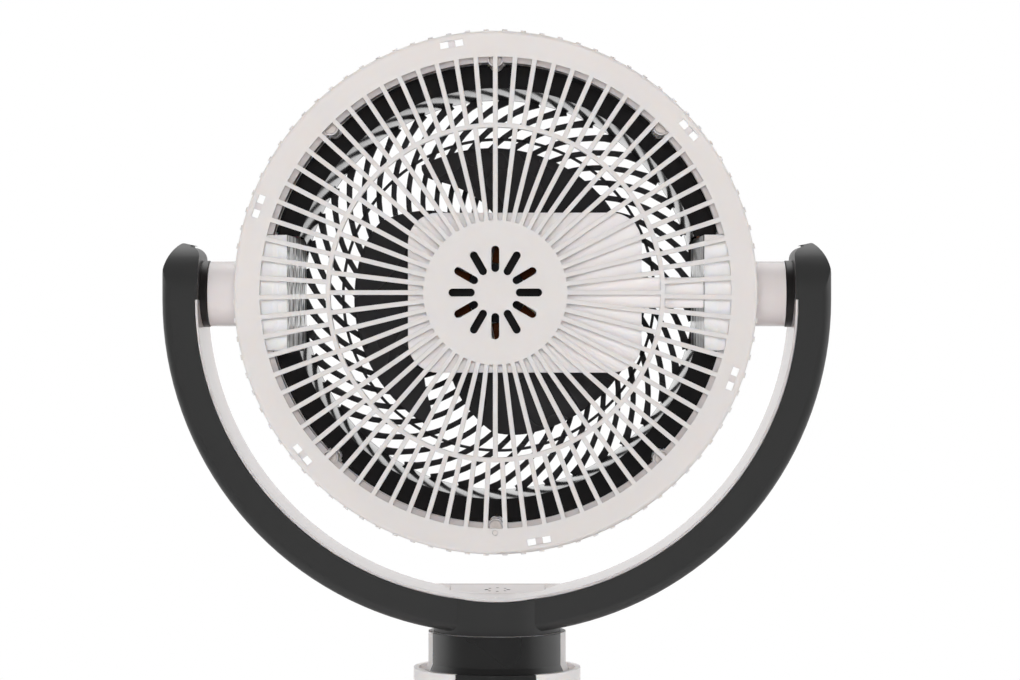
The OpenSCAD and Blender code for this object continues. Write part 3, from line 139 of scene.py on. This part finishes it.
finishes = {
    # moulded ABS, warm white: satin, with the faint texture of a spark-eroded mould
    "warmWhiteAbs": dict(colour="#E4DFDD", roughness=0.32, grainMm=0.7, grainDepth=0.015, edgeMm=0.5,
                         glow=0.5),
    # the same ABS a shade lighter, painted light for parts the lamps reach less: the motor's cover, the front
    # housing, the base and its ring
    "paintedLightWhiteAbs": dict(colour="#F7F1F0", roughness=0.3, grainMm=0.7, grainDepth=0.015, edgeMm=0.4,
                         glow=0.4),
    # the same ABS from a smoother mould, where it mirrors the backdrop at a low angle
    "smoothWhiteAbs": dict(colour="#E8E1E0", roughness=0.15, roughDrift=0.02, grainMm=2.0, grainDepth=0.01,
                           edgeMm=0.5, glow=0.4, gloss=0.4),
    # the lighter ABS again, polished for the fingers: the touch panel; its extra lightness is painted light
    # for a panel the lamps reach less
    "paintedLightGlossyWhiteAbs": dict(colour="#F7F1F0", roughness=0.16, roughDrift=0.02, grainMm=2.0, grainDepth=0.005,
                           edgeMm=0.2, glow=0.4, gloss=0.6),
    # the side boxes' walls, from a polished mould: long upright waves, 9 mm apart, streak what they mirror;
    # their near-white is painted light for walls in shade
    "paintedLightPolishedWhiteAbs": dict(colour="#FBF7F6", roughness=0.06, roughDrift=0.01, grainMm=9.0, grainDepth=4.0,
                             stretch=(1, 1, 0.05), edgeMm=0.4, glow=0.5, gloss=0.8),
    # moulded ABS, charcoal: satin, a little rougher than the white
    "charcoalAbs": dict(colour="#363636", roughness=0.42, grainMm=0.6, grainDepth=0.03, edgeMm=0.6),
    # the same ABS a shade darker, from a smoother mould: the neck's rear cover and the base's panel
    "smoothCharcoalAbs": dict(colour="#262626", roughness=0.28, grainMm=1.5, grainDepth=0.01, edgeMm=0.5,
                              gloss=0.8),
    # pivot collars: near-black ABS, faintly warm
    "warmBlackAbs": dict(colour="#201E1E", roughness=0.38, grainMm=0.6, grainDepth=0.02, edgeMm=0.4),
    # moulded polystyrene, black: glossy, mirrors what passes at a low angle
    "blackPolystyrene": dict(colour="#232223", roughness=0.08, roughDrift=0.02, grainMm=8.0, grainDepth=0.01,
                             edgeMm=0.3),
    # moulded ABS, black: semi-gloss
    "blackAbs": dict(colour="#353436", roughness=0.28, roughDrift=0.04, grainMm=1.2, grainDepth=0.015,
                     edgeMm=0.3),
    # acetal, natural: waxy and smooth
    "naturalAcetal": dict(colour="#E6E1D3", roughness=0.3, grainMm=1.0, grainDepth=0.01, edgeMm=0.2),
    # zinc-plated steel, clear passivated: soft metallic, slightly uneven
    "clearZinc": dict(colour="#C9C6C0", roughness=0.35, metallic=1.0, drift=0.06, driftMm=3.0, grainMm=0.3,
                      edgeMm=0.15),
    # screws lacquered to match the white ABS
    "creamLacquer": dict(colour="#E2DAD5", roughness=0.35, drift=0.02, driftMm=2.0, grainMm=0.4,
                         grainDepth=0.01, edgeMm=0.15),
    # ground steel: bright, with fine scatter
    "groundSteel": dict(colour="#B9BABC", roughness=0.25, metallic=1.0, drift=0.03, driftMm=6.0, grainMm=0.3,
                        edgeMm=0.2),
    # drawn steel can of a gear motor: duller
    "drawnSteel": dict(colour="#A6A8AA", roughness=0.4, metallic=1.0, drift=0.05, driftMm=12.0, grainMm=0.4,
                       edgeMm=0.3),
    # phosphated steel of the rotor and the yoke's screw: dark grey
    "phosphatedSteel": dict(colour="#2B2B2D", roughness=0.5, metallic=0.4, drift=0.08, driftMm=5.0,
                            grainMm=0.5, grainDepth=0.03, edgeMm=0.3),
    # stacked silicon steel sheet, lacquered
    "laminatedSteel": dict(colour="#4E4F53", roughness=0.5, metallic=0.8, drift=0.1, driftMm=0.5, grainMm=0.5,
                           grainDepth=0.08, edgeMm=0.1),
    # sintered ferrite: dark and dull
    "sinteredFerrite": dict(colour="#37373A", roughness=0.65, drift=0.06, driftMm=4.0, grainMm=0.4,
                            grainDepth=0.05),
    # enamelled copper wire, wound: grain as coarse as the wire
    "enamelledCopper": dict(colour="#5E3218", roughness=0.45, metallic=0.7, drift=0.2, driftMm=0.8,
                            grainMm=0.6, grainDepth=0.3, edgeMm=0.8),
    # glass-epoxy board with green lacquer
    "greenLacquerBoard": dict(colour="#1F5A38", roughness=0.3, drift=0.12, driftMm=3.0, grainMm=1.5,
                              grainDepth=0.03, edgeMm=0.1),
    # cast iron, painted dark: pitted
    "paintedCastIron": dict(colour="#3C3C3D", roughness=0.6, drift=0.08, driftMm=8.0, grainMm=1.4,
                            grainDepth=0.25, edgeMm=0.8),
    # moulded rubber: matte, soft edges
    "mouldedRubber": dict(colour="#262626", roughness=0.8, drift=0.05, driftMm=6.0, grainMm=0.5,
                          grainDepth=0.05, edgeMm=0.6),
    # printed touch marks: plain grey ink
    "greyInk": dict(colour="#4C4847", roughness=0.4, drift=0.02, grainMm=1.0, grainDepth=0.002, edgeMm=0.05),
}
materials = {name: mouldedFinish(name, **values) for name, values in finishes.items()}
print("materials made:", len(materials))

nodeFinish = {
    "warmWhiteAbs": ["rear_grille", "motor_housing", "neck"],
    # the lighter white on the next line is painted light for parts that sit in shade
    "paintedLightWhiteAbs": ["motor_cover", "base_shell", "column_ring", "front_housing"],
    # the touch panel's lighter white is painted light
    "paintedLightGlossyWhiteAbs": ["control_panel"],
    "smoothWhiteAbs": ["barrel", "yoke_front_shell"],
    # the side boxes' near-white is painted light
    "paintedLightPolishedWhiteAbs": ["side_cover_left", "side_cover_right"],
    "charcoalAbs": ["yoke_rear_shell", "bottom_cover"],
    "smoothCharcoalAbs": ["neck_rear_cover", "column_rear_panel"],
    "warmBlackAbs": ["pivot_collar_left", "pivot_collar_right"],
    "blackPolystyrene": ["duct"],
    "blackAbs": ["front_grille", "impeller", "impeller_nut", "power_jack"],
    "naturalAcetal": ["tilt_bush_left", "tilt_bush_right", "yaw_gear", "yaw_pinion", "thrust_washer"],
    "creamLacquer": ["barrel_screws", "grille_lock_screw"],
    "clearZinc": ["motor_cover_screws", "motor_housing_screws", "tilt_bracket_screws", "neck_screws",
                  "yaw_gear_screws", "yaw_motor_screws", "weight_screws", "bottom_screws"],
    "groundSteel": ["motor_bearings", "motor_shaft", "tilt_motor_shaft", "pivot_clip", "post_clip",
                    "yaw_motor_shaft", "centre_post"],
    "drawnSteel": ["tilt_motor", "tilt_motor_bracket", "yaw_motor"],
    "phosphatedSteel": ["motor_rotor", "yoke_screw"],
    "laminatedSteel": ["stator_core"],
    "sinteredFerrite": ["rotor_magnets"],
    "enamelledCopper": ["stator_coils"],
    "greenLacquerBoard": ["motor_board", "control_board", "power_board"],
    "paintedCastIron": ["base_weight"],
    "mouldedRubber": ["feet"],
}
for finish, names in nodeFinish.items():
    for name in names:
        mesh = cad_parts[name].data
        mesh.materials.clear()
        mesh.materials.append(materials[finish])
left = [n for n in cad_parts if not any(n in names for names in nodeFinish.values())]
print("nodes without a finish:", left)


# A point of the head from its radius, its angle (degrees, counter-clockwise from behind) and its depth in mm
def headPoint(r, a, d):
    r, a, d = np.broadcast_arrays(np.asarray(r, float), np.asarray(a, float), np.asarray(d, float))
    t = np.radians(a)
    return np.stack([r * np.cos(t) * mm, rimY + d * mm, axisZ + r * np.sin(t) * mm], axis=-1)


# Faces of a grid of rows by columns, joined round where asked
def gridFaces(rows, cols, roundRows, roundCols):
    i = np.arange(rows if roundRows else rows - 1)
    j = np.arange(cols if roundCols else cols - 1)
    i, j = np.meshgrid(i, j, indexing="ij")
    i2, j2 = (i + 1) % rows, (j + 1) % cols
    return np.stack([i * cols + j, i * cols + j2, i2 * cols + j2, i2 * cols + j], axis=-1).reshape(-1, 4)


# Several closed shells joined in one mesh: each is (points, quads, fans)
def joinShells(shells):
    points, quads, fans, first = [], [], [], 0
    for p, q, f in shells:
        points.append(p.reshape(-1, 3))
        quads.append(q + first)
        fans += [ring + first for ring in f]
        first += points[-1].shape[0]
    return np.concatenate(points), np.concatenate(quads), fans


# One object from closed shells. Quads come first, then the fans: each is a ring of points closed by one face
def makePiece(name, shells, finish):
    points, quads, fans = joinShells(shells)
    corners = np.concatenate([quads.reshape(-1)] + fans).astype(np.int32)
    counts = np.array([4] * len(quads) + [len(ring) for ring in fans], dtype=np.int32)
    starts = np.concatenate([[0], np.cumsum(counts)[:-1]]).astype(np.int32)
    mesh = bpy.data.meshes.new(name)
    mesh.vertices.add(len(points))
    mesh.vertices.foreach_set("co", np.ascontiguousarray(points, dtype=np.float32).reshape(-1))
    mesh.loops.add(len(corners))
    mesh.loops.foreach_set("vertex_index", corners)
    mesh.polygons.add(len(counts))
    mesh.polygons.foreach_set("loop_start", starts)
    mesh.polygons.foreach_set("use_smooth", np.ones(len(counts), dtype=bool))
    mesh.update(calc_edges=True)
    mesh.validate()
    mesh.materials.append(materials[finish])
    piece = bpy.data.objects.new(name, mesh)
    bpy.context.scene.collection.objects.link(piece)
    return piece


# A w by h rectangle round the origin, counter-clockwise, its corners arcs of radius r with n points each
def roundBar(w, h, r, n):
    t = np.radians(np.linspace(0, 90, n))
    corners = [(w / 2 - r, h / 2 - r, 0), (-w / 2 + r, h / 2 - r, 90), (-w / 2 + r, -h / 2 + r, 180),
               (w / 2 - r, -h / 2 + r, 270)]
    arcs = [(x, y, t + np.radians(a)) for x, y, a in corners]
    return np.concatenate([np.stack([x + r * np.cos(a), y + r * np.sin(a)], axis=1) for x, y, a in arcs])


# The same rectangle as a profile, from inner radius r0 to outer r1 and from depth d0 to d1
def roundedProfile(r0, r1, d0, d1, radius, n):
    return roundBar(r1 - r0, d1 - d0, radius, n) + np.array([(r0 + r1) / 2, (d0 + d1) / 2])


# A quarter circle of a profile round the point (r, d), from straight outwards to straight forwards
def quarterRound(r, d, radius, n):
    t = np.radians(np.linspace(0, 90, n))
    return np.stack([r + radius * np.cos(t), d + radius * np.sin(t)], axis=1)


# A closed ring turned round the head's axis: the profile's points (radius, depth) at every angle of the turn
def turnedRing(profile, steps):
    a = np.linspace(0, 360, steps, endpoint=False)
    points = headPoint(profile[None, :, 0], a[:, None], profile[None, :, 1])
    return points, gridFaces(steps, len(profile), True, True), []


# A stretch of such a ring from one angle to another, closed at both ends
def turnedArc(profile, firstA, lastA, steps):
    a = np.linspace(firstA, lastA, steps)
    points = headPoint(profile[None, :, 0], a[:, None], profile[None, :, 1])
    end = np.arange(len(profile))
    return points, gridFaces(steps, len(end), False, True), [end[::-1], end + (steps - 1) * len(end)]


# Three forward-swept blades; sizes in mm, angles in degrees
bladeSet = {"count": 3, "root": 28.0, "hub": 31.0, "tip": 94.0, "thick": 2.4, "frontD": 94.0, "rearD": 58.0,
            "leadA": 196.0, "spanA": 105.0, "drawIn": 3.2, "cutIn": 2.3, "cutPart": 0.12, "sweep": 0.85,
            "sweepFront": 0.14, "hook": 0.046, "hookReach": 14.0, "belly": 5.0, "narrow": 3.0,
            "edgePower": 0.35, "tipPower": 24, "aroundSteps": 64, "outSteps": 26}


# One blade: u runs from the front edge to the rear edge, v from the root to the tip.
# Tip radius: less by drawIn towards the front edge, and by cutIn more as the square over the first cutPart.
# Angle: back from leadA by spanA towards the front edge, on by sweep degrees for each mm past the hub, by
# sweepFront more at the front edge, and back by hook times the square over the last hookReach mm at the rear.
# Depth: from frontD to rearD, with the belly of a sine, each edge nearer the middle by narrow at the tip.
# Thickness: full over most of the sheet, rounded off by edgePower at the edges and by tipPower at the tip
def bladeShell(turn):
    s = bladeSet
    # w goes once round the section: to the rear edge along the front skin, and back along the rear skin
    w = np.linspace(0, 2 * np.pi, s["aroundSteps"], endpoint=False)[:, None]
    v = np.linspace(0, 1, s["outSteps"])[None, :]
    u = (1 - np.cos(w)) / 2 + 0 * v
    side = np.sin(w) + 0 * v
    tip = s["tip"] - s["drawIn"] * (1 - u) - s["cutIn"] * np.maximum(0, 1 - u / s["cutPart"]) ** 2
    r = s["root"] + (tip - s["root"]) * v
    a = s["leadA"] - s["spanA"] * (1 - u) + (s["sweep"] + s["sweepFront"] * (1 - u)) * (r - s["hub"])
    a = a - s["hook"] * u * np.maximum(0, r - s["tip"] + s["hookReach"]) ** 2
    out = (r - s["hub"]) / (s["tip"] - s["hub"])
    d = s["frontD"] + (s["rearD"] - s["frontD"]) * u + s["belly"] * np.sin(np.pi * u)
    d = d - s["narrow"] * (1 - 2 * u) * out
    thick = s["thick"] / 2 * np.sign(side) * np.abs(side) ** s["edgePower"] * np.sqrt(1 - v ** s["tipPower"])
    points = headPoint(r, a + turn, d + thick)
    rows, cols = s["aroundSteps"], s["outSteps"]
    root = np.arange(rows) * cols
    return points, gridFaces(rows, cols, True, False)[:, ::-1], [root[::-1], root + cols - 1]


# The cup that carries the blades, in mm: a wall, a front plate and a boss with the shaft's bore
hubSet = {"bore": 4.0, "boss": 9.0, "bossRear": 55.0, "inner": 28.5, "rear": 54.0, "plateRear": 86.5,
          "front": 90.0, "round": 2.5, "roundSteps": 8, "steps": 96}


# The cup turned from its outline, in straight lines but for the quarter circle of its outer front edge
def hubShell():
    s = hubSet
    outline = [(s["bore"], s["front"]), (s["bore"], s["bossRear"]), (s["boss"], s["bossRear"]),
               (s["boss"], s["plateRear"]), (s["inner"], s["plateRear"]), (s["inner"], s["rear"]),
               (s["inner"] + s["round"], s["rear"])]
    edge = quarterRound(s["inner"], s["front"] - s["round"], s["round"], s["roundSteps"])
    return turnedRing(np.concatenate([outline, edge]), s["steps"])


def buildImpeller():
    shells = [bladeShell(i * 360 / bladeSet["count"]) for i in range(bladeSet["count"])]
    return makePiece("impellerBlades", shells + [hubShell()], "blackAbs")


impellerPiece = buildImpeller()
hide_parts("impeller")
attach(impellerPiece, "impeller")
print("impeller built")

# Black spiral grille at the front, in mm: ribs, a middle ring, a flange with its rim, and a cap
spiralSet = {"count": 42, "turn": 0.2635, "turnMore": 0.002057, "phase": 7.92, "first": 33.0, "last": 127.1,
             "rear": 114.7, "deep": 4.0, "wide": 2.68, "widen": 0.008, "flare": 0.024, "flareFrom": 117.0,
             "barWide": 2.6, "corner": 0.6, "cornerSteps": 4, "steps": 24}


# One spiral rib: its middle line turns back by turn*r + turnMore*r*r degrees at the radius r, and a rounded
# bar is carried along it, square to its run. The bar, drawn barWide wide, is stretched to wide + widen*r, and
# past flareFrom it widens by flare times the square of the way, into the ring
def spiralShell(angle):
    s = spiralSet
    r = np.linspace(s["first"], s["last"], s["steps"])
    a = s["phase"] - (s["turn"] * r + s["turnMore"] * r * r) + angle
    slope = np.arctan(-r * np.radians(s["turn"] + 2 * s["turnMore"] * r))
    wide = s["wide"] + s["widen"] * r + s["flare"] * np.maximum(0, r - s["flareFrom"]) ** 2
    bar = roundBar(s["barWide"], s["deep"], s["corner"], s["cornerSteps"])
    across = bar[None, :, 0] / s["barWide"] * wide[:, None]
    deep = bar[None, :, 1] + s["deep"] / 2 + s["rear"] + 0 * across
    t = np.radians(a)
    # unit vector across the rib, square to its run
    nx, nz = -np.sin(t + slope), np.cos(t + slope)
    points = np.stack([(r * np.cos(t))[:, None] * mm + nx[:, None] * across * mm,
                       rimY + deep * mm,
                       axisZ + (r * np.sin(t))[:, None] * mm + nz[:, None] * across * mm], axis=-1)
    end = np.arange(len(bar))
    quads = gridFaces(s["steps"], len(bar), False, True)[:, ::-1]
    return points, quads, [end, end[::-1] + (s["steps"] - 1) * len(bar)]


# Each ring: inner and outer radius, rear and front depth, radius of its corners, steps round
ringSet = {"middle": (100.1, 101.9, 114.7, 118.7, 0.5, 160),
           "flange": (126.3, 133.6, 116.0, 118.7, 0.3, 180),
           "rim": (126.3, 129.6, 114.7, 118.7, 0.3, 180)}

# A disc with cut edges and a lower disc with a round edge in front of it. A hole of the radius pin, too small
# to see, keeps its profile off the axis
capSet = {"pin": 0.05, "disc": 36.0, "rear": 114.7, "rearCut": 0.4, "front": 118.9, "frontCut": 0.6,
          "step": 35.0, "stepFront": 120.7, "round": 2.0, "roundSteps": 7, "steps": 96}


# The cap turned from its outline, in straight lines but for the quarter circle of the step
def capShell():
    s = capSet
    outline = [(s["pin"], s["rear"]), (s["disc"] - s["rearCut"], s["rear"]),
               (s["disc"], s["rear"] + s["rearCut"]), (s["disc"], s["front"] - s["frontCut"]),
               (s["disc"] - s["frontCut"], s["front"])]
    edge = quarterRound(s["step"] - s["round"], s["stepFront"] - s["round"], s["round"], s["roundSteps"])
    return turnedRing(np.concatenate([outline, edge, [(s["pin"], s["stepFront"])]]), s["steps"])


def buildFrontGrille():
    s = spiralSet
    shells = [spiralShell(i * 360 / s["count"]) for i in range(s["count"])]
    for *sizes, steps in ringSet.values():
        shells.append(turnedRing(roundedProfile(*sizes, s["cornerSteps"]), steps))
    return makePiece("spiralGrille", shells + [capShell()], "blackAbs")


grillePiece = buildFrontGrille()
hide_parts("front_grille")
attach(grillePiece, "head")
print("spiral grille built")

# The duct's rear edge, in mm, laps a little over the housing's end. Every 45 degrees it stops short of a side
# box or a screw boss, by half the angle that each takes
edgeSet = {"inner": 141.6, "outer": 143.6, "rear": 48.3, "front": 48.9, "round": 0.25, "cornerSteps": 3,
           "everyA": 45, "boxesA": 180, "boxHalfA": 15.5, "bossHalfA": 2.2, "steps": 30}


def buildDuctEdge():
    s = edgeSet
    profile = roundedProfile(s["inner"], s["outer"], s["rear"], s["front"], s["round"], s["cornerSteps"])
    stops = np.arange(0, 361, s["everyA"])
    half = np.where(stops % s["boxesA"] == 0, s["boxHalfA"], s["bossHalfA"])
    shells = [turnedArc(profile, firstA, lastA, s["steps"])
              for firstA, lastA in zip((stops + half)[:-1], (stops - half)[1:])]
    return makePiece("ductEdge", shells, "blackPolystyrene")


edgePiece = buildDuctEdge()
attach(edgePiece, "head")
print("duct edge laid")

# Eight touch marks printed on the control panel, in mm, in an oval ring round (0, centreY). The panel has the
# height seatZ at y = 0 and rises by rise over reach towards the front
marksSet = {"everyA": 45, "ringX": 6.9, "ringY": 5.2, "centreY": 14.0, "dot": 0.7, "sideDot": 1.05,
            "widen": 1.3, "height": 0.06, "rise": 4.2, "reach": 32.0, "seatZ": 130.4, "points": 14}


# Each mark is a flat oval, dot from its middle to its end and widen times as far to its side. The ones on the
# left and right of the ring are larger, sideDot instead of dot
def buildTouchMarks():
    s = marksSet
    turn = np.arange(0, 360, s["everyA"])
    a = np.radians(turn)
    size = np.where(turn % 180 == 0, s["sideDot"], s["dot"])
    t = np.linspace(0, 2 * np.pi, s["points"], endpoint=False)
    end = np.arange(len(t))
    shells = []
    for x, y, r in zip(s["ringX"] * np.cos(a), s["centreY"] + s["ringY"] * np.sin(a), size):
        px, py = x + r * s["widen"] * np.cos(t), y + r * np.sin(t)
        low = np.stack([px, py, s["seatZ"] + py * s["rise"] / s["reach"]], axis=1) * mm
        high = low + np.array([0, 0, s["height"] * mm])
        shells.append((np.stack([low, high]), gridFaces(2, len(t), False, True), [end[::-1], end + len(t)]))
    return makePiece("touchMarks", shells, "greyInk")


marksPiece = buildTouchMarks()
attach(marksPiece, "yoke")
print("touch marks laid")

# Strength of the world behind the photo's camera (room) and beyond the object (backdrop)
studioSet = {"room": 0.04, "backdrop": 0.9, "turnY": 0.35, "white": (1, 1, 1, 1)}


# 1 for a ray that left a mirror or went through a clear piece, else 0
def mirrorRay(tree, path):
    return addNode(tree, "ShaderNodeMath", {"operation": "MAXIMUM"},
                   {0: path.outputs["Is Glossy Ray"], 1: path.outputs["Is Transmission Ray"]}).outputs[0]


# A pale room, whose strength runs from room to backdrop as the smoothstep of the direction's Y from -turnY to
# turnY. Mirrors and clear pieces see the backdrop at 1, and the camera sees 1 all round
def addWorld():
    s = studioSet
    world = bpy.data.worlds.new("paleStudio")
    bpy.context.scene.world = world
    world.use_nodes = True
    tree = world.node_tree
    tree.nodes.clear()
    path = addNode(tree, "ShaderNodeLightPath")
    place = addNode(tree, "ShaderNodeTexCoord")
    way = addNode(tree, "ShaderNodeSeparateXYZ", {}, {"Vector": place.outputs["Generated"]})
    toward = addNode(tree, "ShaderNodeMapRange",
                     {"interpolation_type": "SMOOTHSTEP", "From Min": -s["turnY"], "From Max": s["turnY"]},
                     {"Value": way.outputs["Y"]})
    bright = addNode(tree, "ShaderNodeMapRange", {"To Min": s["backdrop"], "To Max": 1.0},
                     {"Value": mirrorRay(tree, path)})
    around = addNode(tree, "ShaderNodeMapRange", {"To Min": s["room"]},
                     {"Value": toward.outputs["Result"], "To Max": bright.outputs["Result"]})
    strength = addNode(tree, "ShaderNodeMath", {"operation": "MAXIMUM"},
                       {0: around.outputs["Result"], 1: path.outputs["Is Camera Ray"]})
    glow = addNode(tree, "ShaderNodeBackground", {"Color": s["white"]}, {"Strength": strength.outputs[0]})
    addNode(tree, "ShaderNodeOutputWorld", {}, {"Surface": glow.outputs[0]})


# Square lamps turned to the middle of the head, in metres and watts. Glossy pieces mirror only two of them
lampSet = {
    "keyLamp": dict(place=(0.0, -2.5, 0.58), size=0.6, power=34.0, mirrored=False),
    "sideLamp": dict(place=(2.2, -0.5, 0.25), size=1.4, power=8.0, mirrored=True),
    "fillLamp": dict(place=(-1.3, -1.5, 0.1), size=1.2, power=7.0, mirrored=False),
    "topLamp": dict(place=(0.0, 0.9, 2.2), size=1.6, power=10.0, mirrored=True),
}


def addLamp(name, place, size, power, mirrored):
    data = bpy.data.lights.new(name, "AREA")
    data.shape = "SQUARE"
    data.size = size
    data.energy = power
    lamp = bpy.data.objects.new(name, data)
    lamp.location = place
    way = Vector((0, 0, axisZ)) - Vector(place)
    lamp.rotation_euler = way.to_track_quat("-Z", "Y").to_euler()
    bpy.context.scene.collection.objects.link(lamp)
    lamp.visible_camera = False
    lamp.visible_glossy = mirrored


# Half the floor's side, the distances over which it fades to white, and the Y over which mirrors see it
# brighten, in metres
floorSet = {"half": 12.0, "fadeFrom": 0.25, "fadeTo": 0.62, "dimY": -0.5, "brightY": 0.3,
            "shade": (0.86, 0.86, 0.86, 1)}


# Pale paper: it takes the shadow near the object and melts into the white further off, for the camera and for
# mirrors. Mirrors see the white part as dim as the room on the camera's side
def addFloor():
    s = floorSet
    h = s["half"]
    mesh = bpy.data.meshes.new("studioFloor")
    mesh.from_pydata([(-h, -h, 0), (h, -h, 0), (h, h, 0), (-h, h, 0)], [], [(0, 1, 2, 3)])
    mesh.update()
    floor = bpy.data.objects.new("studioFloor", mesh)
    bpy.context.scene.collection.objects.link(floor)
    paper, tree, out = startMaterial("palePaper")
    path = addNode(tree, "ShaderNodeLightPath")
    place = addNode(tree, "ShaderNodeTexCoord")
    reach = addNode(tree, "ShaderNodeVectorMath", {"operation": "LENGTH"}, {0: place.outputs["Object"]})
    fade = addNode(tree, "ShaderNodeMapRange",
                   {"interpolation_type": "SMOOTHSTEP", "From Min": s["fadeFrom"], "From Max": s["fadeTo"]},
                   {"Value": reach.outputs["Value"]})
    seen = addNode(tree, "ShaderNodeMath", {"operation": "MAXIMUM"},
                   {0: path.outputs["Is Camera Ray"], 1: mirrorRay(tree, path)})
    amount = addNode(tree, "ShaderNodeMath", {"operation": "MULTIPLY"},
                     {0: fade.outputs["Result"], 1: seen.outputs[0]})
    way = addNode(tree, "ShaderNodeSeparateXYZ", {}, {"Vector": place.outputs["Object"]})
    ahead = addNode(tree, "ShaderNodeMapRange",
                    {"interpolation_type": "SMOOTHSTEP", "From Min": s["dimY"], "From Max": s["brightY"],
                     "To Min": studioSet["room"]}, {"Value": way.outputs["Y"]})
    strength = addNode(tree, "ShaderNodeMath", {"operation": "MAXIMUM"},
                       {0: ahead.outputs["Result"], 1: path.outputs["Is Camera Ray"]})
    matte = addNode(tree, "ShaderNodeBsdfDiffuse", {"Color": s["shade"]})
    glow = addNode(tree, "ShaderNodeEmission", {"Color": studioSet["white"]},
                   {"Strength": strength.outputs[0]})
    mix = addNode(tree, "ShaderNodeMixShader", {},
                  {0: amount.outputs[0], 1: matte.outputs[0], 2: glow.outputs[0]})
    tree.links.new(mix.outputs[0], out.inputs["Surface"])
    mesh.materials.append(paper)


addWorld()
addFloor()
for name, values in lampSet.items():
    addLamp(name, **values)
bpy.context.scene.view_settings.view_transform = "Standard"
print("studio lit")

bpy.context.view_layer.update()
